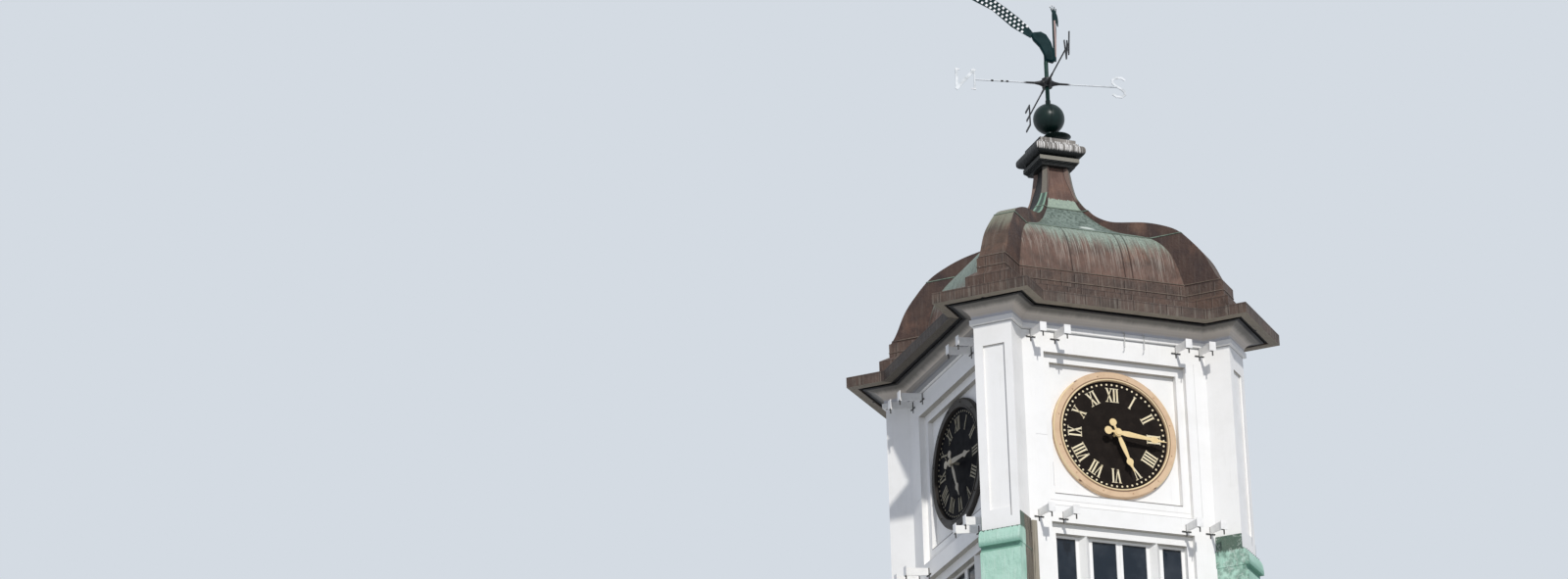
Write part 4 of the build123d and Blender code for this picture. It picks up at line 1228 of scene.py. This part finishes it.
@dataclass
class DialWork:
    """Numerals, minute dots and ring screws of the four dials."""

    finishes: Finishes
    foot: float = 0.400
    rise: float = 0.158
    thick: float = 0.020
    thin: float = 0.009
    serif: float = 0.009
    serif_reach: float = 0.86
    margin: float = 0.007
    insets: tuple = (0.008, 0.006, 0.004)
    relief: float = 0.004
    dot_reach: float = 0.603
    dot_radius: float = 0.0120
    screw_reach: float = 0.700
    screw_radii: tuple = (0.009, 0.006)
    screw_sunk: float = 0.006
    screw_long: float = 0.010
    screws: int = 12
    minutes: int = 60
    advance: dict = field(default_factory=lambda: {"I": 0.038, "V": 0.080, "X": 0.082})
    hours: tuple = ("XII", "I", "II", "III", "IIII", "V", "VI", "VII", "VIII", "IX", "X", "XI")

    def __post_init__(self) -> None:
        """Read where the dial is."""
        low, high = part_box("dial_front")
        self.centre = Vector((0.0, low.y, (low.z + high.z) / 2))
        self.ring_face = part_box("dial_rings")[0].y

    def about(self, degrees: float) -> Matrix:
        """Turn clockwise about the dial's centre, as seen from in front."""
        turn = Matrix.Rotation(math.radians(degrees), 4, "Y")
        return Matrix.Translation(self.centre) @ turn @ Matrix.Translation(-self.centre)

    def bar(self, start: tuple[float, float], end: tuple[float, float], width: float) -> None:
        """One flat stroke, given in the numeral's own upright plane."""
        x0, z0 = start
        x1, z1 = end
        length = math.hypot(x1 - x0, z1 - z0)
        tilt = Matrix.Rotation(-math.atan2(z1 - z0, x1 - x0), 3, "Y")
        middle = self.centre + Vector(((x0 + x1) / 2, -self.relief / 2, (z0 + z1) / 2))
        Bench.block(middle, (length, self.relief, width), tilt)

    def letter(self, kind: Stroke, left: float) -> None:
        """One letter of a numeral, standing on the inner circle."""
        low, high = self.foot, self.foot + self.rise
        x0, x1 = left + self.margin, left + self.advance[kind.value] - self.margin
        middle = (x0 + x1) / 2
        wide, slim, least = self.insets
        strokes = {
            Stroke.one: ((middle, middle, self.thick),),
            Stroke.five: ((x0 + wide, middle, self.thick), (x1 - least, middle, self.thin)),
            Stroke.ten: ((x0 + wide, x1 - wide, self.thick), (x1 - slim, x0 + slim, self.thin)),
        }[kind]
        reach = self.thick * self.serif_reach
        for top, foot, width in strokes:
            self.bar((foot, low), (top, high), width)
            for x, z in ((top, high), (foot, low)):
                if z == high or kind is not Stroke.five:
                    self.bar((x - reach, z), (x + reach, z), self.serif)

    def numerals(self) -> None:
        """The twelve hour numerals, each modelled upright and turned to its hour."""
        hours = []
        for index, text in enumerate(self.hours):
            Bench.open("hour_numeral")
            left = -sum(self.advance[letter] for letter in text) / 2
            for letter in text:
                self.letter(Stroke(letter), left)
                left += self.advance[letter]
            piece = Bench.close(bevel=0.0008)
            piece.data.transform(self.about(index * 360.0 / len(self.hours)))
            hours.append(piece)
        Bench.to_sides(Bench.join(hours), "numerals", self.finishes.numeral, "gilt")

    def dots(self) -> None:
        """Round minute dots close to the dial's edge."""
        Bench.open("minute_dot")
        top = self.centre + Vector((0.0, 0.0, self.dot_reach))
        Bench.rod(top, top + Vector((0.0, -self.relief, 0.0)), self.dot_radius)
        dot = Bench.close(bevel=0.001)
        turns = [self.about(step * 360.0 / self.minutes) for step in range(self.minutes)]
        ring = Bench.copies(dot, turns, "minute_dots")
        Bench.to_sides(ring, "minute_dots", self.finishes.numeral, "gilt")

    def ring_screws(self) -> None:
        """Small round-headed screws in the ring."""
        Bench.open("ring_screw")
        top = Vector((0.0, self.ring_face + self.screw_sunk, self.centre.z + self.screw_reach))
        Bench.rod(top, top + Vector((0.0, -self.screw_long, 0.0)), *self.screw_radii, sides=10)
        screw = Bench.close(bevel=0.001)
        turns = [self.about((step + 0.5) * 360.0 / self.screws) for step in range(self.screws)]
        ring = Bench.copies(screw, turns, "ring_screws")
        Bench.to_sides(ring, "ring_screws", self.finishes.ring, "dial_ring")

    def build(self) -> None:
        """Model all the dial work."""
        self.numerals()
        self.dots()
        self.ring_screws()


@dataclass
class RoofSheets:
    """Laps between the roof's sheets, cut as thin bands from the roof's own surface."""

    finishes: Finishes
    height: float = 0.011
    thick: float = 0.006
    laps: tuple = (("dome", 5.992), ("dome", 6.670), ("dome", 7.202), ("dome_skirt", 5.852))
    green_from: float = 6.5
    least_outward: float = 0.01
    weld: float = 0.0005

    def band(self, node: str, level: float) -> bpy.types.Object:
        """Cut a level band from a node's outer surface and thicken it.

        Args:
            node: The CAD node.
            level: Height of the band's foot.

        Returns:
            The finished band.
        """
        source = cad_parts[node]
        piece = Bench.take(bpy.data.objects.new(f"lap_{node}_{round(level * 1000)}", source.data.copy()))
        piece.data.transform(source.matrix_world)
        bpy.ops.object.mode_set(mode="EDIT")
        for place, upper in ((level, False), (level + self.height, True)):
            bpy.ops.mesh.select_all(action="SELECT")
            bpy.ops.mesh.bisect(plane_co=(0.0, 0.0, place), plane_no=(0.0, 0.0, 1.0),
                                clear_inner=not upper, clear_outer=upper)
        bpy.ops.mesh.select_all(action="DESELECT")
        bpy.ops.object.mode_set(mode="OBJECT")
        for face in piece.data.polygons:
            away = Vector((face.center.x, face.center.y, 0.0)).normalized()
            face.select = face.normal.dot(away) < self.least_outward
        bpy.ops.object.mode_set(mode="EDIT")
        bpy.ops.mesh.delete(type="FACE")
        bpy.ops.mesh.select_all(action="SELECT")
        bpy.ops.mesh.remove_doubles(threshold=self.weld)
        bpy.ops.object.mode_set(mode="OBJECT")
        Bench.modify(piece, "SOLIDIFY", thickness=self.thick, offset=1.0)
        return piece

    def build(self) -> None:
        """Cut every lap."""
        for node, level in self.laps:
            material = self.finishes.green_lap if level > self.green_from else self.finishes.lap
            Bench.finish(self.band(node, level), material, "brown_copper")


@dataclass
class VaneWork:
    """White marks on the bird's tail, beads on its crest, serifs and clamps on the north arm."""

    finishes: Finishes
    heading: float = BIRD_HEADING
    foot: float = 9.240
    mid_line: tuple = ((-0.232, 0.440), (-0.340, 0.540), (-0.465, 0.661), (-0.612, 0.794), (-0.830, 0.950))
    rows: tuple = (-0.046, 0.0, 0.046)
    mark: float = 0.027
    step: float = 0.062
    relief: float = 0.003
    face: float = 0.006
    arm_turn: float = math.radians(170.0)
    arm_level: float = 8.957
    lumps: tuple = (0.482, 0.545, 0.664)
    lump_radius: float = 0.011
    beads: tuple = ((0.150, 0.688), (0.132, 0.718), (0.104, 0.735), (0.079, 0.720), (0.122, 0.684),
                    (0.108, 0.664), (0.138, 0.656), (0.094, 0.690))
    bead_radius: float = 0.010
    serifs: tuple = ((0.888, 0.122), (0.888, -0.122), (1.078, 0.122))
    serif_long: float = 0.056
    serif_thick: tuple = (0.014, 0.012)
    clamp_half: float = 0.016

    def tail_marks(self) -> None:
        """Three rows of square white marks along both faces of the tail."""
        turn = Matrix.Rotation(self.heading, 3, "Z")
        Bench.open("tail_marks")
        carry = 0.0
        for (x0, z0), (x1, z1) in zip(self.mid_line, self.mid_line[1:]):
            run = Vector((x1 - x0, 0.0, z1 - z0))
            length = run.length
            run.normalize()
            aside = Vector((-run.z, 0.0, run.x))
            tilt = turn @ Matrix.Rotation(-math.atan2(run.z, run.x), 3, "Y")
            while carry < length:
                for index, row in enumerate(self.rows):
                    ahead = carry + (self.step / 2 if index % 2 else 0.0)
                    spot = Vector((x0, 0.0, z0)) + run * ahead + aside * row
                    for out in (-self.face - self.relief / 2, self.face + self.relief / 2):
                        place = turn @ (spot + Vector((0.0, out, 0.0))) + Vector((0.0, 0.0, self.foot))
                        Bench.block(place, (self.mark, self.relief, self.mark), tilt)
                carry += self.step
            carry -= length
        Bench.finish(Bench.close(), self.finishes.mark, "vane_metal", "vane_bird")

    def comb(self) -> None:
        """White beads on the points of the crest."""
        turn = Matrix.Rotation(self.heading, 3, "Z")
        Bench.open("comb_beads")
        for x, z in self.beads:
            place = turn @ Vector((x, 0.0, z)) + Vector((0.0, 0.0, self.foot))
            bpy.ops.mesh.primitive_uv_sphere_add(segments=10, ring_count=6, radius=self.bead_radius,
                                                 location=place)
        Bench.finish(Bench.close(smooth=60.0), self.finishes.mark, "vane_metal", "vane_bird")

    def north_serifs(self) -> None:
        """Serifs of the letter at the north arm's end."""
        Bench.open("north_serifs")
        turn = Matrix.Rotation(self.arm_turn, 3, "Z")
        for reach, rise in self.serifs:
            place = turn @ Vector((reach, 0.0, 0.0)) + Vector((0.0, 0.0, self.arm_level + rise))
            Bench.block(place, (self.serif_long, *self.serif_thick), turn)
        Bench.finish(Bench.close(bevel=0.001), self.finishes.mark, "vane_metal")

    def arm_lumps(self) -> None:
        """Small dark clamps on the north arm."""
        Bench.open("arm_clamps")
        along = Vector((math.cos(self.arm_turn), math.sin(self.arm_turn), 0.0))
        for reach in self.lumps:
            spot = along * reach + Vector((0.0, 0.0, self.arm_level))
            half = along * self.clamp_half
            Bench.rod(spot - half, spot + half, self.lump_radius, sides=10)
        Bench.finish(Bench.close(bevel=0.003), self.finishes.black, "vane_metal")

    def build(self) -> None:
        """Model the vane's small parts."""
        self.tail_marks()
        self.comb()
        self.north_serifs()
        self.arm_lumps()


@dataclass
class WallWork:
    """Wire hooks on the front fillet, and bare boards and flashing nails at the consoles."""

    finishes: Finishes
    hooks: tuple = (0.12, 0.36)
    hook_out: float = 0.042
    hook_top: float = 5.222
    hook_foot: float = 5.045
    hook_sunk: float = 0.010
    hook_tip: tuple = (-0.020, -0.020, -0.016)
    wire: float = 0.005
    board_from: float = -1.109
    board_to: float = -1.043
    board_thick: float = 0.014
    board_foot: float = 0.300
    board_top: float = 2.880
    nail_level: float = 2.718
    nail_step: float = 0.058
    nails: int = 8
    nail_radius: float = 0.008
    nail_taper: float = 0.6
    nail_from: float = 0.022
    nail_long: float = 0.024

    def wire_hooks(self) -> None:
        """Two wires that hang over the fillet."""
        Bench.open("fillet_hooks")
        out = -WALL_FACE - self.hook_out
        for x in self.hooks:
            top, foot = Vector((x, out, self.hook_top)), Vector((x, out, self.hook_foot))
            wall = Vector((x, -WALL_FACE - self.hook_sunk, self.hook_top))
            for start, end in ((wall, top), (top + Vector((0.0, 0.0, self.wire)), foot),
                               (foot, foot + Vector(self.hook_tip))):
                Bench.rod(start, end, self.wire, sides=8)
        Bench.finish(Bench.close(), self.finishes.wire, "white_steel")

    def flashing_nails(self) -> None:
        """Nails along the top of each console's front sheet."""
        Bench.open("flashing_nail")
        start = Vector((PIER_REACH + self.nail_from, 0.0, self.nail_level))
        out = Vector((self.nail_long, 0.0, 0.0))
        Bench.rod(start, start + out, self.nail_radius, self.nail_radius * self.nail_taper, sides=8)
        nail = Bench.close(bevel=0.001)
        middle = (self.nails - 1) / 2
        places = [corner.spin @ Matrix.Translation((0.0, (index - middle) * self.nail_step, 0.0))
                  for corner in Corner for index in range(self.nails)]
        Bench.finish(Bench.copies(nail, places, "flashing_nails"), self.finishes.nail, "green_copper")

    def side_boards(self) -> None:
        """Unpainted board on the wall beside each console."""
        Bench.open("side_board")
        wide = self.board_to - self.board_from
        tall = self.board_top - self.board_foot
        middle = Vector(((self.board_from + self.board_to) / 2, -WALL_FACE - self.board_thick / 2,
                         (self.board_foot + self.board_top) / 2))
        Bench.block(middle, (wide, self.board_thick, tall))
        board = Bench.close(bevel=0.003)
        Bench.to_sides(board, "side_board", self.finishes.side_board, "painted_timber")

    def build(self) -> None:
        """Model the hooks, side boards and nails."""
        self.wire_hooks()
        self.side_boards()
        self.flashing_nails()


@dataclass
class Stage:
    """Floor, world, lamp and camera."""

    floor_half: float = 30.0
    floor_tone: tuple = tone(214, 214, 212)
    floor_rough: float = 0.9
    sky_tone: tuple = tone(212, 219, 227)
    fill: tuple = (0.33, 0.365, 0.45, 1.0)
    sun_from: tuple = (-0.140, -0.850, 0.500)
    sun_power: float = 2.30
    sun_tone: tuple = (1.0, 0.975, 0.94)
    sun_size: float = math.radians(1.6)
    place: tuple = (-20.2746, -44.6135, -13.967)
    yaw: float = math.radians(20.738)
    pitch: float = math.radians(22.622)
    roll: float = math.radians(-1.474)
    lens: float = 105.02
    sensor: float = 36.0
    far: float = 400.0

    def floor(self) -> None:
        """Pale floor that shows from above only, so that a low camera sees past it."""
        Bench.clear()
        bpy.ops.mesh.primitive_plane_add(size=2 * self.floor_half, location=(0.0, 0.0, 0.0))
        floor = bpy.context.object
        floor.name = "stage_floor"
        made = bpy.data.materials.new("stage_floor")
        made.use_nodes = True
        sheet = Sheet(made.node_tree)
        skin = sheet.fill(made.node_tree.nodes["Principled BSDF"], Base_Color=self.floor_tone,
                          Roughness=self.floor_rough, Specular_IOR_Level=0.1)
        clear = sheet.node("ShaderNodeBsdfTransparent")
        where = sheet.node("ShaderNodeNewGeometry")
        sheet.blend(where.outputs["Backfacing"], skin.outputs[0], clear.outputs[0], "Material Output")
        floor.data.materials.append(made)

    def sky(self) -> None:
        """Even fill light, with a pale backdrop to camera, mirror and glass rays."""
        world = bpy.data.worlds.new("studio")
        world.use_nodes = True
        bpy.context.scene.world = world
        sheet = Sheet(world.node_tree)
        light = sheet.fill(world.node_tree.nodes["Background"], Color=self.fill, Strength=1.0)
        seen = sheet.fill(sheet.node("ShaderNodeBackground"), Color=self.sky_tone, Strength=1.0)
        path = sheet.node("ShaderNodeLightPath").outputs
        rays = sheet.sum("MAXIMUM", path["Is Camera Ray"], path["Is Glossy Ray"])
        rays = sheet.sum("MAXIMUM", rays, path["Is Transmission Ray"])
        sheet.blend(rays, light.outputs[0], seen.outputs[0], "World Output")

    def lamp(self) -> None:
        """One key lamp, a sun from the front and a little to the left."""
        data = bpy.data.lights.new("key", "SUN")
        data.energy = self.sun_power
        data.angle = self.sun_size
        data.color = self.sun_tone
        key = bpy.data.objects.new("key", data)
        key.rotation_euler = Vector(self.sun_from).to_track_quat("Z", "Y").to_euler()
        bpy.context.scene.collection.objects.link(key)

    def camera(self) -> None:
        """Camera at the place and turn from which the turret is seen."""
        flat = math.cos(self.pitch)
        ahead = Vector((math.sin(self.yaw) * flat, math.cos(self.yaw) * flat, math.sin(self.pitch)))
        level = Vector((math.cos(self.yaw), -math.sin(self.yaw), 0.0))
        upright = level.cross(ahead)
        right = level * math.cos(self.roll) + upright * math.sin(self.roll)
        up = upright * math.cos(self.roll) - level * math.sin(self.roll)
        data = bpy.data.cameras.new("view")
        data.lens = self.lens
        data.sensor_width = self.sensor
        data.sensor_fit = "HORIZONTAL"
        data.clip_end = self.far
        data.dof.use_dof = False
        camera = bpy.data.objects.new("view", data)
        turn = Matrix((right, up, -ahead)).transposed().to_4x4()
        camera.matrix_world = Matrix.Translation(Vector(self.place)) @ turn
        bpy.context.scene.collection.objects.link(camera)
        bpy.context.scene.camera = camera

    def build(self) -> None:
        """Set the stage."""
        bpy.context.scene.view_settings.view_transform = "Standard"
        self.floor()
        self.sky()
        self.lamp()
        self.camera()


def main() -> None:
    """Build the stage, the finishes and every sub-assembly in order."""
    logging.basicConfig(level=logging.INFO, format="%(name)s: %(message)s")
    Stage().build()
    finishes = Finishes()
    finishes.dress_frame()
    DialWork(finishes).build()
    RoofSheets(finishes).build()
    VaneWork(finishes).build()
    WallWork(finishes).build()


if __name__ == "__main__":
    main()
